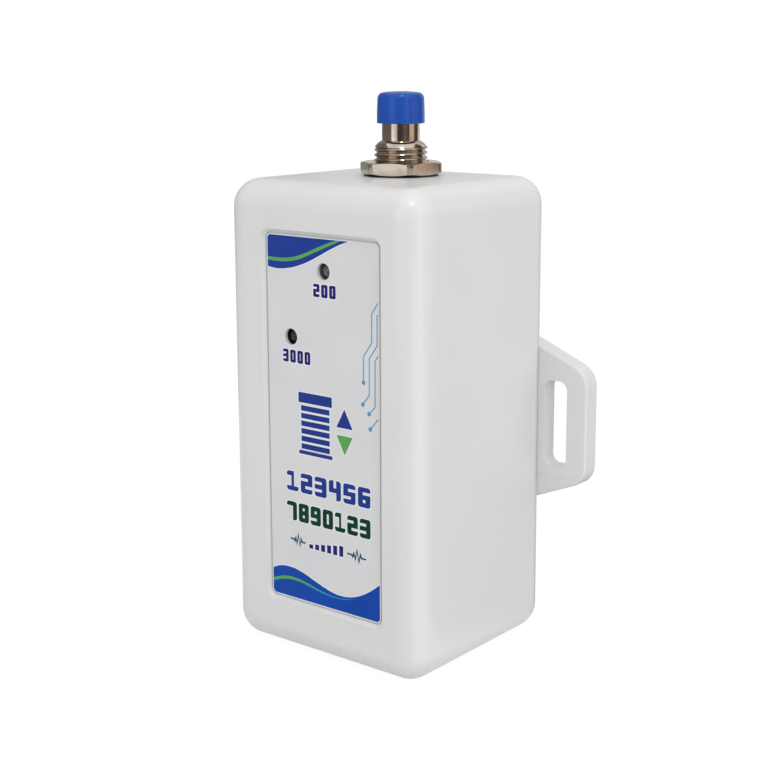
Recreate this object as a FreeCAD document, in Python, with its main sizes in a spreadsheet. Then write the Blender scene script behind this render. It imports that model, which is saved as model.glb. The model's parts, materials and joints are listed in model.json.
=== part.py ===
import FreeCAD, Part
import Sketcher
import math
import os
import re

# Roller shutter remote control: a moulded box with a panel push button on top and two wall lugs.
# Millimetres. X to the right of the label face, Y from the label face to the wall, Z up from the base.

sizes = {
    # Moulded box
    "CaseWidth": 45.0,
    "CaseDepth": 41.5,
    "CaseHeight": 88.0,
    "CornerRadius": 5.2,
    "WallThickness": 2.3,
    "SeamBand": 0.3,
    "SeamBreak": 0.2,
    # Recess in the front face and the label in it
    "RecessCentreX": 1.0,
    "RecessCentreZ": 44.6,
    "RecessDepth": 1.05,
    "RecessBevel": 0.6,
    "RecessCornerRadius": 1.3,
    "LabelWidth": 26.1,
    "LabelHeight": 68.0,
    "LabelThickness": 0.35,
    "LabelCornerRadius": 0.9,
    "LabelGap": 0.35,
    # Windows for the indicator and the recessed key
    "LedX": 1.4,
    "LedDrop": 5.9,
    "KeyX": -6.5,
    "KeyDrop": 18.4,
    "WindowDiameter": 3.0,
    # Back cover: lip, lugs, screws
    "LipThickness": 1.2,
    "LipDepth": 2.0,
    "LipClearance": 0.1,
    "LugReach": 10.45,
    "LugCentreZ": 41.7,
    "LugThickness": 3.6,
    "LugRootHeight": 31.9,
    "LugTipHeight": 20.75,
    "LugCornerRadius": 4.2,
    "LugEdgeRadius": 0.5,
    "LugRootInset": 3.0,
    "LugFacetRise": 0.35,
    "LugFacetDrop": 0.35,
    "SlotOffset": 3.7,
    "SlotWidth": 5.0,
    "SlotHeight": 16.6,
    "SlotCornerRadius": 1.7,
    "BossEdgeX": 8.3,
    "BossEdgeZ": 8.4,
    "BossDiameter": 6.2,
    "BossWebThickness": 1.2,
    "BossWebGap": 2.0,
    "CoverScrewDiameter": 2.5,
    "CoverScrewLength": 12.0,
    "CoverScrewHeadDiameter": 4.6,
    "CoverScrewHeadHeight": 1.6,
    "CoverScrewHeadDepth": 2.6,
    "CoverScrewHeadBevel": 0.5,
    "ScrewClearance": 0.1,
    "ThreadFit": 0.02,
    "HeadClearance": 0.2,
    # Circuit board
    "BoardSideGap": 1.7,
    "BoardEndGap": 1.3,
    "BoardThickness": 1.6,
    "BoardCornerRadius": 1.0,
    "StandoffHeight": 4.5,
    "StandoffDiameter": 5.0,
    "StandoffEdgeX": 3.0,
    "StandoffEdgeZ": 3.2,
    "BoardScrewDiameter": 2.0,
    "BoardScrewLength": 5.0,
    "BoardScrewHeadDiameter": 3.8,
    "BoardScrewHeadHeight": 1.3,
    "BoardScrewHeadBevel": 0.4,
    # Panel push button
    "ButtonY": 3.7,
    "ThreadDiameter": 9.96,
    "ThreadLength": 5.2,
    "ConeHeight": 1.25,
    "NeckDiameter": 7.0,
    "NeckLength": 4.15,
    "PanelClearance": 0.12,
    "NutFlats": 14.0,
    "NutHeight": 2.6,
    "NutTurn": 22.0,
    "NutChamferAngle": 30.0,
    "WasherDiameter": 14.6,
    "WasherThickness": 0.6,
    "WasherToothCount": 12,
    "WasherToothDepth": 1.1,
    "WasherToothWidth": 1.5,
    "FlangeDiameter": 13.0,
    "FlangeThickness": 1.2,
    "SpringChamberDiameter": 7.2,
    "CollarStopHeight": 4.0,
    "CollarDiameter": 6.6,
    "CollarThickness": 1.4,
    "StopGap": 0.05,
    "StemDiameter": 3.1,
    "StemFit": 0.05,
    "ButtonTravel": 1.8,
    "CapDiameter": 8.87,
    "CapSkirtClearance": 0.15,
    "CapDrop": 1.0,
    "CapCeilingGap": 0.2,
    "CapTopThickness": 2.85,
    "CapSocketDepth": 1.95,
    "CapEdgeRadius": 0.95,
    "PressFit": 0.01,
    "CanLength": 11.6,
    "CanWall": 1.3,
    "CanTopThickness": 1.6,
    "CanStemClearance": 0.2,
    "BaseThickness": 2.0,
    "ContactDiameter": 7.5,
    "ContactThickness": 0.4,
    "ContactDepth": 3.2,
    "ContactPinDiameter": 2.0,
    "ContactPinLength": 0.9,
    "TerminalSpacing": 5.0,
    "TerminalWidth": 1.9,
    "TerminalThickness": 0.5,
    "TerminalTail": 6.3,
    "TerminalFit": 0.05,
    "TerminalEyeDiameter": 1.0,
    "TerminalEyeInset": 1.2,
    "SpringWire": 0.5,
    "SpringDiameter": 6.4,
    "SpringTurns": 6,
    # Indicator and recessed key
    "LedDiameter": 2.9,
    "LedFlangeDiameter": 3.8,
    "LedFlangeThickness": 1.0,
    "LedSetback": 0.65,
    "LedTipFlat": 0.12,
    "LeadPitch": 2.54,
    "LeadWidth": 0.5,
    "LeadTail": 1.1,
    "LeadHoleDiameter": 0.9,
    "KeyBodySide": 6.0,
    "KeyBodyHeight": 3.2,
    "KeyCoverThickness": 0.3,
    "KeyPlungerDiameter": 2.7,
    "KeyPlungerFit": 0.08,
    "KeyPlungerSeat": 0.7,
    "KeyTravel": 0.25,
    "KeyTipFlat": 0.54,
    "KeyPinPitch": 4.5,
    "KeyPinWidth": 0.7,
    "KeyPinThickness": 0.3,
    "KeyPinRise": 1.4,
    "KeyPinHoleDiameter": 1.0,
    # Parts on the back of the board
    "ChipX": -2.0,
    "ChipZ": 40.0,
    "ChipWidth": 3.9,
    "ChipLength": 8.65,
    "ChipHeight": 1.45,
    "ChipStandoff": 0.15,
    "ChipEdgeBreak": 0.15,
    "ChipLegPitch": 1.27,
    "ChipLegCount": 7,
    "ChipLegWidth": 0.41,
    "ChipLegReach": 1.05,
    "ChipLegThickness": 0.2,
    "RadioX": -6.5,
    "RadioZ": 25.5,
    "RadioWidth": 15.0,
    "RadioHeight": 13.0,
    "RadioBoardThickness": 0.8,
    "ShieldWidth": 11.0,
    "ShieldHeight": 9.5,
    "ShieldDepth": 2.2,
    "ShieldCornerRadius": 0.8,
    "AntennaX": 12.0,
    "AntennaZ": 22.0,
    "AntennaDiameter": 5.0,
    "AntennaWire": 0.8,
    "AntennaLength": 15.0,
    "AntennaGap": 0.1,
    "CapacitorX": 10.0,
    "CapacitorGap": 0.8,
    "CapacitorDiameter": 6.3,
    "CapacitorLength": 11.0,
    "CapacitorGrooveDepth": 0.35,
    "CapacitorGrooveWidth": 0.9,
    "CapacitorGrooveRise": 1.3,
    "ChipPartLength": 2.0,
    "ChipPartWidth": 1.25,
    "ResistorHeight": 0.5,
    "CeramicHeight": 0.8,
    "ResistorCount": 5,
    "CeramicCount": 3,
    "ChipPartPitch": 3.2,
    "ResistorRowX": 5.5,
    "CeramicRowX": -12.0,
    "ChipPartRowZ": 34.0,
    # Battery block and its snap connector
    "BatteryWidth": 26.5,
    "BatteryDepth": 17.5,
    "BatteryHeight": 46.4,
    "BatteryBaseZ": 12.2,
    "BatteryCornerRadius": 2.4,
    "BatteryEdgeBreak": 0.3,
    "BatteryFit": 0.15,
    "RibThickness": 1.6,
    "RibReach": 10.0,
    "RibHeight": 26.0,
    "RibBaseZ": 20.0,
    "ShelfWidth": 19.0,
    "StudSpacing": 12.7,
    "StudDiameter": 5.7,
    "StudHeight": 2.2,
    "SocketDiameter": 7.6,
    "SnapWidth": 24.5,
    "SnapDepth": 12.5,
    "SnapHeight": 4.6,
    "SnapCornerRadius": 4.0,
    "SnapFit": 0.2,
    # Hook-up wires
    "WireDiameter": 1.1,
    "BatteryWireX": 4.0,
    "BatteryWireEndZ": 55.0,
    "ButtonWireDrop": 1.4,
    "ButtonWireEndZ": 65.3,
}

# Levels and centres worked out from the sizes above
places = {
    "FrontY": "-CaseDepth / 2",
    "BackY": "CaseDepth / 2",
    "SeamY": "BackY - CornerRadius - SeamBand",
    "CavityFrontY": "FrontY + WallThickness",
    "CavityBackY": "BackY - WallThickness",
    "RecessFloorY": "FrontY + RecessDepth",
    "LabelFaceY": "RecessFloorY - LabelThickness",
    "LabelTopZ": "RecessCentreZ + LabelHeight / 2",
    "LedZ": "LabelTopZ - LedDrop",
    "KeyZ": "LabelTopZ - KeyDrop",
    "BoardFrontY": "CavityFrontY + StandoffHeight",
    "BoardBackY": "BoardFrontY + BoardThickness",
    "BossSpacingX": "CaseWidth - 2 * BossEdgeX",
    "BossLowZ": "BossEdgeZ",
    "BossHighZ": "CaseHeight - BossEdgeZ",
    "BoardWidth": "CaseWidth - 2 * WallThickness - 2 * BoardSideGap",
    "BoardBaseZ": "BossLowZ + BossDiameter / 2 + BoardEndGap",
    "BoardTopZ": "BossHighZ - BossDiameter / 2 - BoardEndGap",
    "BoardNeckWidth": "BossSpacingX - BossDiameter - 2 * BoardEndGap",
    "BoardCrownZ": "CaseHeight - WallThickness - BoardEndGap",
    "StandoffSpacingX": "BoardWidth - 2 * StandoffEdgeX",
    "StandoffLowZ": "BoardBaseZ + StandoffEdgeZ",
    "StandoffHighZ": "BoardTopZ - StandoffEdgeZ",
    "ScrewSeatY": "BackY - CoverScrewHeadDepth",
    "LugFrontY": "BackY - LugThickness",
    "LugRootX": "CaseWidth / 2 - LugRootInset",
    "LugSpan": "CaseWidth + 2 * LugReach",
    "SlotSpacing": "CaseWidth + 2 * SlotOffset",
    "LugCreaseZ": "LugCentreZ - LugTipHeight / 2 + LugFacetRise",
    "FlangeTopZ": "-WallThickness - WasherThickness",
    "FlangeBaseZ": "FlangeTopZ - FlangeThickness",
    "CanBaseZ": "FlangeBaseZ - CanLength",
    "ThreadTopZ": "ThreadLength",
    "NeckBaseZ": "ThreadTopZ + ConeHeight",
    "NeckTopZ": "NeckBaseZ + NeckLength",
    "CapBaseZ": "NeckTopZ - CapDrop",
    "CapCeilingZ": "NeckTopZ + ButtonTravel + CapCeilingGap",
    "CapTopZ": "CapCeilingZ + CapTopThickness",
    "CapSocketTopZ": "CapCeilingZ + CapSocketDepth",
    "CollarTopZ": "CollarStopHeight - StopGap",
    "CollarBaseZ": "CollarTopZ - CollarThickness",
    "ContactTopZ": "FlangeBaseZ - CanTopThickness - ContactDepth",
    "ContactBaseZ": "ContactTopZ - ContactThickness",
    "TerminalTopZ": "ContactBaseZ - ButtonTravel - StopGap",
    "TerminalBaseZ": "CanBaseZ - TerminalTail",
    "KeyBodyFrontY": "BoardFrontY - KeyBodyHeight",
    "WindowTipY": "LabelFaceY + LedSetback",
    "BatteryCentreY": "CavityBackY - BatteryDepth / 2",
    "BatteryTopZ": "BatteryBaseZ + BatteryHeight",
    "CapacitorZ": "BatteryTopZ + SnapHeight + CapacitorGap + CapacitorDiameter / 2",
}

doc = FreeCAD.newDocument("ShutterRemote")


def fillSheet(name, rows):
    sheet = doc.addObject("Spreadsheet::Sheet", name)
    for row, (alias, content) in enumerate(rows, start=1):
        sheet.set(f"A{row}", alias)
        sheet.set(f"B{row}", content)
        sheet.setAlias(f"B{row}", alias)
    doc.recompute()
    return sheet


def bound(formula):
    # Names in a formula point at the cell that holds them.
    def cell(found):
        word = found.group(0)
        if word in sizes:
            return "Sizes." + word
        if word in places:
            return "Places." + word
        return word
    return re.sub(r"[A-Za-z_]\w*", cell, formula)


def placeRow(alias, formula):
    def cell(found):
        word = found.group(0)
        return "Sizes." + word if word in sizes else word
    return alias, "=" + re.sub(r"[A-Za-z_]\w*", cell, formula)


sizeSheet = fillSheet("Sizes", [(alias, str(value)) for alias, value in sizes.items()])
placeSheet = fillSheet("Places", [placeRow(alias, formula) for alias, formula in places.items()])


def at(alias):
    # The number that a cell holds now.
    sheet = sizeSheet if alias in sizes else placeSheet
    return float(sheet.get(alias))


def addBody(label):
    body = doc.addObject("PartDesign::Body", label)
    body.Label = label
    return body


def placeBody(body, x="0", y="0", z="0"):
    for axis, formula in (("x", x), ("y", y), ("z", z)):
        body.setExpression(f"Placement.Base.{axis}", bound(formula))


def addSketch(body, name, plane, offset="0"):
    # The offset runs along +X, +Y or +Z; the XZ plane's own normal points along -Y.
    sketch = body.newObject("Sketcher::SketchObject", name)
    support = [item for item in body.Origin.OriginFeatures if item.Role == plane + "_Plane"][0]
    sketch.AttachmentSupport = (support, "")
    sketch.MapMode = "FlatFace"
    sign = "-" if plane == "XZ" else ""
    sketch.setExpression("AttachmentOffset.Base.z", bound(f"{sign}({offset})"))
    return sketch


def pinPoint(sketch, curve, end, across, up):
    # Holds one point of a sketch at two formulas measured from the sketch origin.
    for kind, formula, axisLine in (("DistanceX", across, -2), ("DistanceY", up, -1)):
        if formula == "0":
            sketch.addConstraint(Sketcher.Constraint("PointOnObject", curve, end, axisLine))
            continue
        index = sketch.addConstraint(Sketcher.Constraint(kind, -1, 1, curve, end, 1.0))
        sketch.renameConstraint(index, f"pin{index}")
        sketch.setExpression(f"Constraints.pin{index}", bound(formula))


def addPolygon(sketch, corners):
    # A closed outline; every corner is a pair of formulas.
    count = len(corners)
    ring = [
        FreeCAD.Vector(math.cos(2 * math.pi * step / count), math.sin(2 * math.pi * step / count), 0)
        for step in range(count)
    ]
    lines = [
        sketch.addGeometry(Part.LineSegment(ring[step], ring[(step + 1) % count]), False)
        for step in range(count)
    ]
    for step, line in enumerate(lines):
        following = lines[(step + 1) % count]
        sketch.addConstraint(Sketcher.Constraint("Coincident", line, 2, following, 1))
    for line, (across, up) in zip(lines, corners):
        pinPoint(sketch, line, 1, across, up)


def addBox(sketch, left, right, low, high):
    addPolygon(sketch, [(left, low), (right, low), (right, high), (left, high)])


def addCircle(sketch, across, up, diameter):
    circle = sketch.addGeometry(
        Part.Circle(FreeCAD.Vector(0, 0, 0), FreeCAD.Vector(0, 0, 1), 1.0), False
    )
    pinPoint(sketch, circle, 3, across, up)
    index = sketch.addConstraint(Sketcher.Constraint("Diameter", circle, 2.0))
    sketch.renameConstraint(index, f"bore{index}")
    sketch.setExpression(f"Constraints.bore{index}", bound(diameter))


def isValid(feature):
    return not feature.Shape.isNull() and feature.Shape.isValid() and "Invalid" not in feature.State


def pad(body, sketch, length, toward):
    feature = body.newObject("PartDesign::Pad", "Pad")
    feature.Profile = sketch
    feature.setExpression("Length", bound(length))
    feature.Reversed = toward in ("+Y", "-X", "-Z")
    doc.recompute()
    return feature


def pocket(body, sketch, depth, toward):
    before = body.Shape.Volume
    feature = body.newObject("PartDesign::Pocket", "Pocket")
    feature.Profile = sketch
    feature.setExpression("Length", bound(depth))
    feature.Reversed = toward in ("-Y", "+X", "+Z")
    doc.recompute()
    if not isValid(feature) or body.Shape.Volume >= before:
        raise RuntimeError(f"{body.Label}: {sketch.Name} cuts nothing")
    return feature


def revolve(body, sketch):
    feature = body.newObject("PartDesign::Revolution", "Revolution")
    feature.Profile = sketch
    feature.ReferenceAxis = (sketch, ["V_Axis"])
    feature.Angle = 360.0
    doc.recompute()
    return feature


def edgesWhere(body, test):
    return [f"Edge{index}" for index, edge in enumerate(body.Shape.Edges, start=1) if test(edge)]


def dress(body, kind, radius, test):
    # A fillet or a chamfer on the edges that pass the test.
    base = body.Tip
    names = edgesWhere(body, test)
    if not names:
        raise RuntimeError(f"{body.Label}: no edge for a {kind}")
    feature = body.newObject("PartDesign::" + kind, kind)
    feature.Base = (base, names)
    feature.setExpression("Radius" if kind == "Fillet" else "Size", bound(radius))
    doc.recompute()
    if not isValid(feature):
        raise RuntimeError(f"{body.Label}: {kind} failed")
    return feature


tiny = 1e-4
roundingRoom = 0.01


def near(value, wanted):
    return abs(value - wanted) < tiny


def runsAlong(edge, axis):
    # True for a straight edge parallel to the named axis.
    box = edge.BoundBox
    spans = {"X": box.XLength, "Y": box.YLength, "Z": box.ZLength}
    own = spans.pop(axis)
    return own > tiny and all(span < tiny for span in spans.values())


def liesAtY(edge, level):
    box = edge.BoundBox
    return near(box.YMin, level) and near(box.YMax, level)


def liesAtZ(edge, level):
    box = edge.BoundBox
    return near(box.ZMin, level) and near(box.ZMax, level)


bossCentres = [
    (f"{side} * BossSpacingX / 2", level)
    for side in (-1, 1)
    for level in ("BossLowZ", "BossHighZ")
]
standoffCentres = [
    (f"{side} * StandoffSpacingX / 2", level)
    for side in (-1, 1)
    for level in ("StandoffLowZ", "StandoffHighZ")
]


def buildFrontHousing():
    body = addBody("front_housing")
    outline = addSketch(body, "CaseOutline", "XZ", "SeamY")
    addBox(outline, "-CaseWidth / 2", "CaseWidth / 2", "0", "CaseHeight")
    pad(body, outline, "SeamY - FrontY", "-Y")

    cavity = addSketch(body, "Cavity", "XZ", "SeamY")
    addBox(cavity, "-(CaseWidth / 2 - WallThickness)", "CaseWidth / 2 - WallThickness",
           "WallThickness", "CaseHeight - WallThickness")
    pocket(body, cavity, "SeamY - CavityFrontY", "-Y")
    outerHalf = at("CaseWidth") / 2

    def isOuterEdge(edge):
        # The sharp edges of the block: its front face's and the four that run to the seam.
        box = edge.BoundBox
        beside = near(max(abs(box.XMin), abs(box.XMax)), outerHalf)
        return liesAtY(edge, at("FrontY")) or (beside and runsAlong(edge, "Y"))

    def isCavityEdge(edge):
        box = edge.BoundBox
        inside = max(abs(box.XMin), abs(box.XMax)) < outerHalf - roundingRoom
        return inside and (runsAlong(edge, "Y") or liesAtY(edge, at("CavityFrontY")))
    dress(body, "Fillet", "CornerRadius - WallThickness", isCavityEdge)
    dress(body, "Fillet", "CornerRadius", isOuterEdge)

    bosses = addSketch(body, "Bosses", "XZ", "SeamY")
    for across, up in bossCentres:
        addCircle(bosses, across, up, "BossDiameter")
    pad(body, bosses, "SeamY - CavityFrontY", "-Y")

    webs = addSketch(body, "BossWebs", "XZ", "SeamY - LipDepth - BossWebGap")
    for across, up in bossCentres:
        wall = "(CaseWidth / 2 - WallThickness / 2)"
        edges = (f"-{wall}", across) if across.startswith("-") else (across, wall)
        addBox(webs, edges[0], edges[1], f"{up} - BossWebThickness / 2", f"{up} + BossWebThickness / 2")
    pad(body, webs, "SeamY - LipDepth - BossWebGap - CavityFrontY", "-Y")

    standoffs = addSketch(body, "Standoffs", "XZ", "BoardFrontY")
    for across, up in standoffCentres:
        addCircle(standoffs, across, up, "StandoffDiameter")
    pad(body, standoffs, "StandoffHeight", "-Y")

    recess = addSketch(body, "Recess", "XZ", "FrontY")
    addBox(recess, "RecessCentreX - LabelWidth / 2 - LabelGap", "RecessCentreX + LabelWidth / 2 + LabelGap",
           "RecessCentreZ - LabelHeight / 2 - LabelGap", "RecessCentreZ + LabelHeight / 2 + LabelGap")
    pocket(body, recess, "RecessDepth", "+Y")

    def isRecessCorner(edge):
        box = edge.BoundBox
        return runsAlong(edge, "Y") and near(box.YMin, at("FrontY")) and near(box.YMax, at("RecessFloorY"))
    dress(body, "Fillet", "RecessCornerRadius", isRecessCorner)
    recessHalf = at("LabelWidth") / 2 + at("LabelGap") + roundingRoom

    def isRecessRim(edge):
        box = edge.BoundBox
        offset = max(abs(box.XMin - at("RecessCentreX")), abs(box.XMax - at("RecessCentreX")))
        return liesAtY(edge, at("FrontY")) and offset < recessHalf
    dress(body, "Chamfer", "RecessBevel", isRecessRim)

    windows = addSketch(body, "Windows", "XZ", "RecessFloorY")
    addCircle(windows, "LedX", "LedZ", "WindowDiameter")
    addCircle(windows, "KeyX", "KeyZ", "WindowDiameter")
    pocket(body, windows, "WallThickness", "+Y")

    panelHole = addSketch(body, "PanelHole", "XY", "CaseHeight")
    addCircle(panelHole, "0", "ButtonY", "ThreadDiameter + 2 * PanelClearance")
    pocket(body, panelHole, "WallThickness", "-Z")

    bossPilots = addSketch(body, "BossPilots", "XZ", "SeamY")
    for across, up in bossCentres:
        addCircle(bossPilots, across, up, "CoverScrewDiameter + 2 * ThreadFit")
    pocket(body, bossPilots, "CoverScrewLength", "-Y")

    standoffPilots = addSketch(body, "StandoffPilots", "XZ", "BoardFrontY")
    for across, up in standoffCentres:
        addCircle(standoffPilots, across, up, "BoardScrewDiameter + 2 * ThreadFit")
    pocket(body, standoffPilots, "StandoffHeight", "-Y")

    wallHalf = at("CaseWidth") / 2 - at("WallThickness") + roundingRoom

    def isSeamEdge(edge):
        box = edge.BoundBox
        outside = max(abs(box.XMin), abs(box.XMax)) > wallHalf
        return outside and liesAtY(edge, at("SeamY"))
    dress(body, "Chamfer", "SeamBreak", isSeamEdge)
    return body


def buildCoverShell():
    # The back cover without its lugs: plate, lip, screw bosses, battery shelf and ribs.
    body = addBody("cover_shell")
    outline = addSketch(body, "CoverOutline", "XZ", "SeamY")
    addBox(outline, "-CaseWidth / 2", "CaseWidth / 2", "0", "CaseHeight")
    pad(body, outline, "BackY - SeamY", "+Y")
    dress(body, "Fillet", "CornerRadius",
          lambda edge: runsAlong(edge, "Y") or liesAtY(edge, at("BackY")))
    dress(body, "Chamfer", "SeamBreak", lambda edge: liesAtY(edge, at("SeamY")))

    lip = addSketch(body, "Lip", "XZ", "SeamY")
    inset = "(WallThickness + LipClearance)"
    addBox(lip, f"-(CaseWidth / 2 - {inset})", f"CaseWidth / 2 - {inset}", inset, f"CaseHeight - {inset}")
    pad(body, lip, "LipDepth", "-Y")

    def isLipCorner(edge):
        box = edge.BoundBox
        return runsAlong(edge, "Y") and near(box.YMin, at("SeamY") - at("LipDepth"))
    dress(body, "Fillet", "CornerRadius - WallThickness - LipClearance", isLipCorner)

    hollow = addSketch(body, "Hollow", "XZ", "SeamY - LipDepth")
    inset = "(WallThickness + LipClearance + LipThickness)"
    addBox(hollow, f"-(CaseWidth / 2 - {inset})", f"CaseWidth / 2 - {inset}", inset, f"CaseHeight - {inset}")
    pocket(body, hollow, "CavityBackY - SeamY + LipDepth", "+Y")

    bosses = addSketch(body, "CoverBosses", "XZ", "SeamY")
    for across, up in bossCentres:
        addCircle(bosses, across, up, "BossDiameter")
    pad(body, bosses, "CavityBackY - SeamY", "+Y")

    holes = addSketch(body, "ScrewHoles", "XZ", "SeamY")
    for across, up in bossCentres:
        addCircle(holes, across, up, "CoverScrewDiameter + 2 * ScrewClearance")
    pocket(body, holes, "BackY - SeamY", "+Y")
    sinks = addSketch(body, "HeadSinks", "XZ", "BackY")
    for across, up in bossCentres:
        addCircle(sinks, across, up, "CoverScrewHeadDiameter + 2 * HeadClearance")
    pocket(body, sinks, "CoverScrewHeadDepth", "-Y")

    shelf = addSketch(body, "BatteryShelf", "XZ", "CavityBackY")
    addBox(shelf, "-ShelfWidth / 2", "ShelfWidth / 2", "BatteryBaseZ - RibThickness", "BatteryBaseZ")
    pad(body, shelf, "BatteryDepth", "-Y")
    ribs = addSketch(body, "BatteryRibs", "XZ", "CavityBackY")
    inner = "(BatteryWidth / 2 + BatteryFit)"
    addBox(ribs, inner, f"{inner} + RibThickness", "RibBaseZ", "RibBaseZ + RibHeight")
    addBox(ribs, f"-{inner} - RibThickness", f"-{inner}", "RibBaseZ", "RibBaseZ + RibHeight")
    pad(body, ribs, "RibReach", "-Y")
    return body


def buildLugPair():
    # Two tapered wall lugs with slots, flush with the back of the cover.
    body = addBody("lug_pair")
    outline = addSketch(body, "LugOutline", "XZ", "BackY")
    for side in ("", "-"):
        addPolygon(outline, [
            (f"{side}LugRootX", "LugCentreZ - LugRootHeight / 2"),
            (f"{side}LugSpan / 2", "LugCentreZ - LugTipHeight / 2"),
            (f"{side}LugSpan / 2", "LugCentreZ + LugTipHeight / 2"),
            (f"{side}LugRootX", "LugCentreZ + LugRootHeight / 2"),
        ])
    pad(body, outline, "LugThickness", "-Y")

    tip = at("LugSpan") / 2

    def isTipCorner(edge):
        box = edge.BoundBox
        return runsAlong(edge, "Y") and near(max(abs(box.XMin), abs(box.XMax)), tip)
    dress(body, "Fillet", "LugCornerRadius", isTipCorner)

    facet = addSketch(body, "LugFacet", "YZ", "-LugSpan / 2")
    addPolygon(facet, [
        ("LugFrontY", "LugCreaseZ"),
        ("LugFrontY", "LugCentreZ - LugRootHeight / 2 - LugFacetDrop"),
        ("LugFrontY + LugFacetDrop", "LugCentreZ - LugRootHeight / 2 - LugFacetDrop"),
    ])
    pocket(body, facet, "LugSpan", "+X")

    root = at("LugRootX")

    def isFrontOutline(edge):
        box = edge.BoundBox
        atRoot = near(abs(box.XMin), root) and near(abs(box.XMax), root)
        above = box.ZMin > at("LugCreaseZ") - tiny
        crease = liesAtZ(edge, at("LugCreaseZ"))
        return liesAtY(edge, at("LugFrontY")) and above and not atRoot and not crease
    dress(body, "Fillet", "LugEdgeRadius", isFrontOutline)

    slots = addSketch(body, "LugSlots", "XZ", "LugFrontY")
    for side in ("", "-"):
        centre = f"{side}SlotSpacing / 2"
        addBox(slots, f"{centre} - SlotWidth / 2", f"{centre} + SlotWidth / 2",
               "LugCentreZ - SlotHeight / 2", "LugCentreZ + SlotHeight / 2")
    pocket(body, slots, "LugThickness", "+Y")
    slotMiddle = at("SlotSpacing") / 2

    def isSlotCorner(edge):
        box = edge.BoundBox
        reach = max(abs(box.XMin), abs(box.XMax))
        inSlot = abs(reach - slotMiddle) < at("SlotWidth") / 2 + roundingRoom
        inHeight = abs(box.ZMin - at("LugCentreZ")) < at("SlotHeight") / 2 + roundingRoom
        return runsAlong(edge, "Y") and inSlot and inHeight
    dress(body, "Fillet", "SlotCornerRadius", isSlotCorner)
    return body


def buildBackCover():
    shell = buildCoverShell()
    lugs = buildLugPair()
    cover = doc.addObject("Part::MultiFuse", "back_cover")
    cover.Label = "back_cover"
    cover.Shapes = [shell, lugs]
    doc.recompute()
    return cover


def buildScrewSet(label, centres, seat, shank, length, head, height, bevel):
    # Pan head screws driven from the back, toward the label face.
    body = addBody(label)
    shanks = addSketch(body, "Shanks", "XZ", seat)
    for across, up in centres:
        addCircle(shanks, across, up, shank)
    pad(body, shanks, length, "-Y")
    heads = addSketch(body, "Heads", "XZ", seat)
    for across, up in centres:
        addCircle(heads, across, up, head)
    pad(body, heads, height, "+Y")
    doc.recompute()
    crown = body.Shape.BoundBox.YMax
    dress(body, "Chamfer", bevel, lambda edge: liesAtY(edge, crown))
    return body


def buildLabelPlate():
    body = addBody("label_plate")
    outline = addSketch(body, "LabelOutline", "XZ", "RecessFloorY")
    addBox(outline, "RecessCentreX - LabelWidth / 2", "RecessCentreX + LabelWidth / 2",
           "RecessCentreZ - LabelHeight / 2", "RecessCentreZ + LabelHeight / 2")
    addCircle(outline, "LedX", "LedZ", "WindowDiameter")
    addCircle(outline, "KeyX", "KeyZ", "WindowDiameter")
    pad(body, outline, "LabelThickness", "-Y")
    dress(body, "Fillet", "LabelCornerRadius", lambda edge: runsAlong(edge, "Y") and not edge.isClosed())
    return body


def buildNut():
    body = addBody("push_button_nut")
    placeBody(body, y="ButtonY", z="CaseHeight")
    body.Placement.Rotation = FreeCAD.Rotation(FreeCAD.Vector(0, 0, 1), at("NutTurn"))
    outline = addSketch(body, "NutOutline", "XY")
    corner = "(NutFlats / sqrt(3))"
    addPolygon(outline, [
        (corner, "0"),
        (f"{corner} / 2", "NutFlats / 2"),
        (f"-{corner} / 2", "NutFlats / 2"),
        (f"-{corner}", "0"),
        (f"-{corner} / 2", "-NutFlats / 2"),
        (f"{corner} / 2", "-NutFlats / 2"),
    ])
    addCircle(outline, "0", "0", "ThreadDiameter + 2 * ThreadFit")
    pad(body, outline, "NutHeight", "+Z")

    bevels = addSketch(body, "CornerBevels", "XZ")
    drop = "NutFlats / 2 * tan(NutChamferAngle * 1 deg)"
    addPolygon(bevels, [
        ("NutFlats / 2", "NutHeight"),
        ("NutFlats", "NutHeight"),
        ("NutFlats", f"NutHeight - {drop}"),
    ])
    addPolygon(bevels, [("NutFlats / 2", "0"), ("NutFlats", "0"), ("NutFlats", drop)])
    before = body.Shape.Volume
    groove = body.newObject("PartDesign::Groove", "CornerCut")
    groove.Profile = bevels
    groove.ReferenceAxis = (bevels, ["V_Axis"])
    groove.Angle = 360.0
    doc.recompute()
    if not isValid(groove) or body.Shape.Volume >= before:
        raise RuntimeError("the nut's corners were not cut")
    return body


def turnedBody(label, outline):
    # A turned piece on the push button's axis; the panel's outer face is at height 0.
    body = addBody(label)
    placeBody(body, y="ButtonY", z="CaseHeight")
    profile = addSketch(body, "Profile", "XZ")
    addPolygon(profile, outline)
    revolve(body, profile)
    return body


def buildBushing():
    return turnedBody("push_button_bushing", [
        ("SpringChamberDiameter / 2", "FlangeBaseZ"),
        ("FlangeDiameter / 2", "FlangeBaseZ"),
        ("FlangeDiameter / 2", "FlangeTopZ"),
        ("ThreadDiameter / 2", "FlangeTopZ"),
        ("ThreadDiameter / 2", "ThreadTopZ"),
        ("NeckDiameter / 2", "NeckBaseZ"),
        ("NeckDiameter / 2", "NeckTopZ"),
        ("StemDiameter / 2 + StemFit", "NeckTopZ"),
        ("StemDiameter / 2 + StemFit", "CollarStopHeight"),
        ("SpringChamberDiameter / 2", "CollarStopHeight"),
    ])


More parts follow.
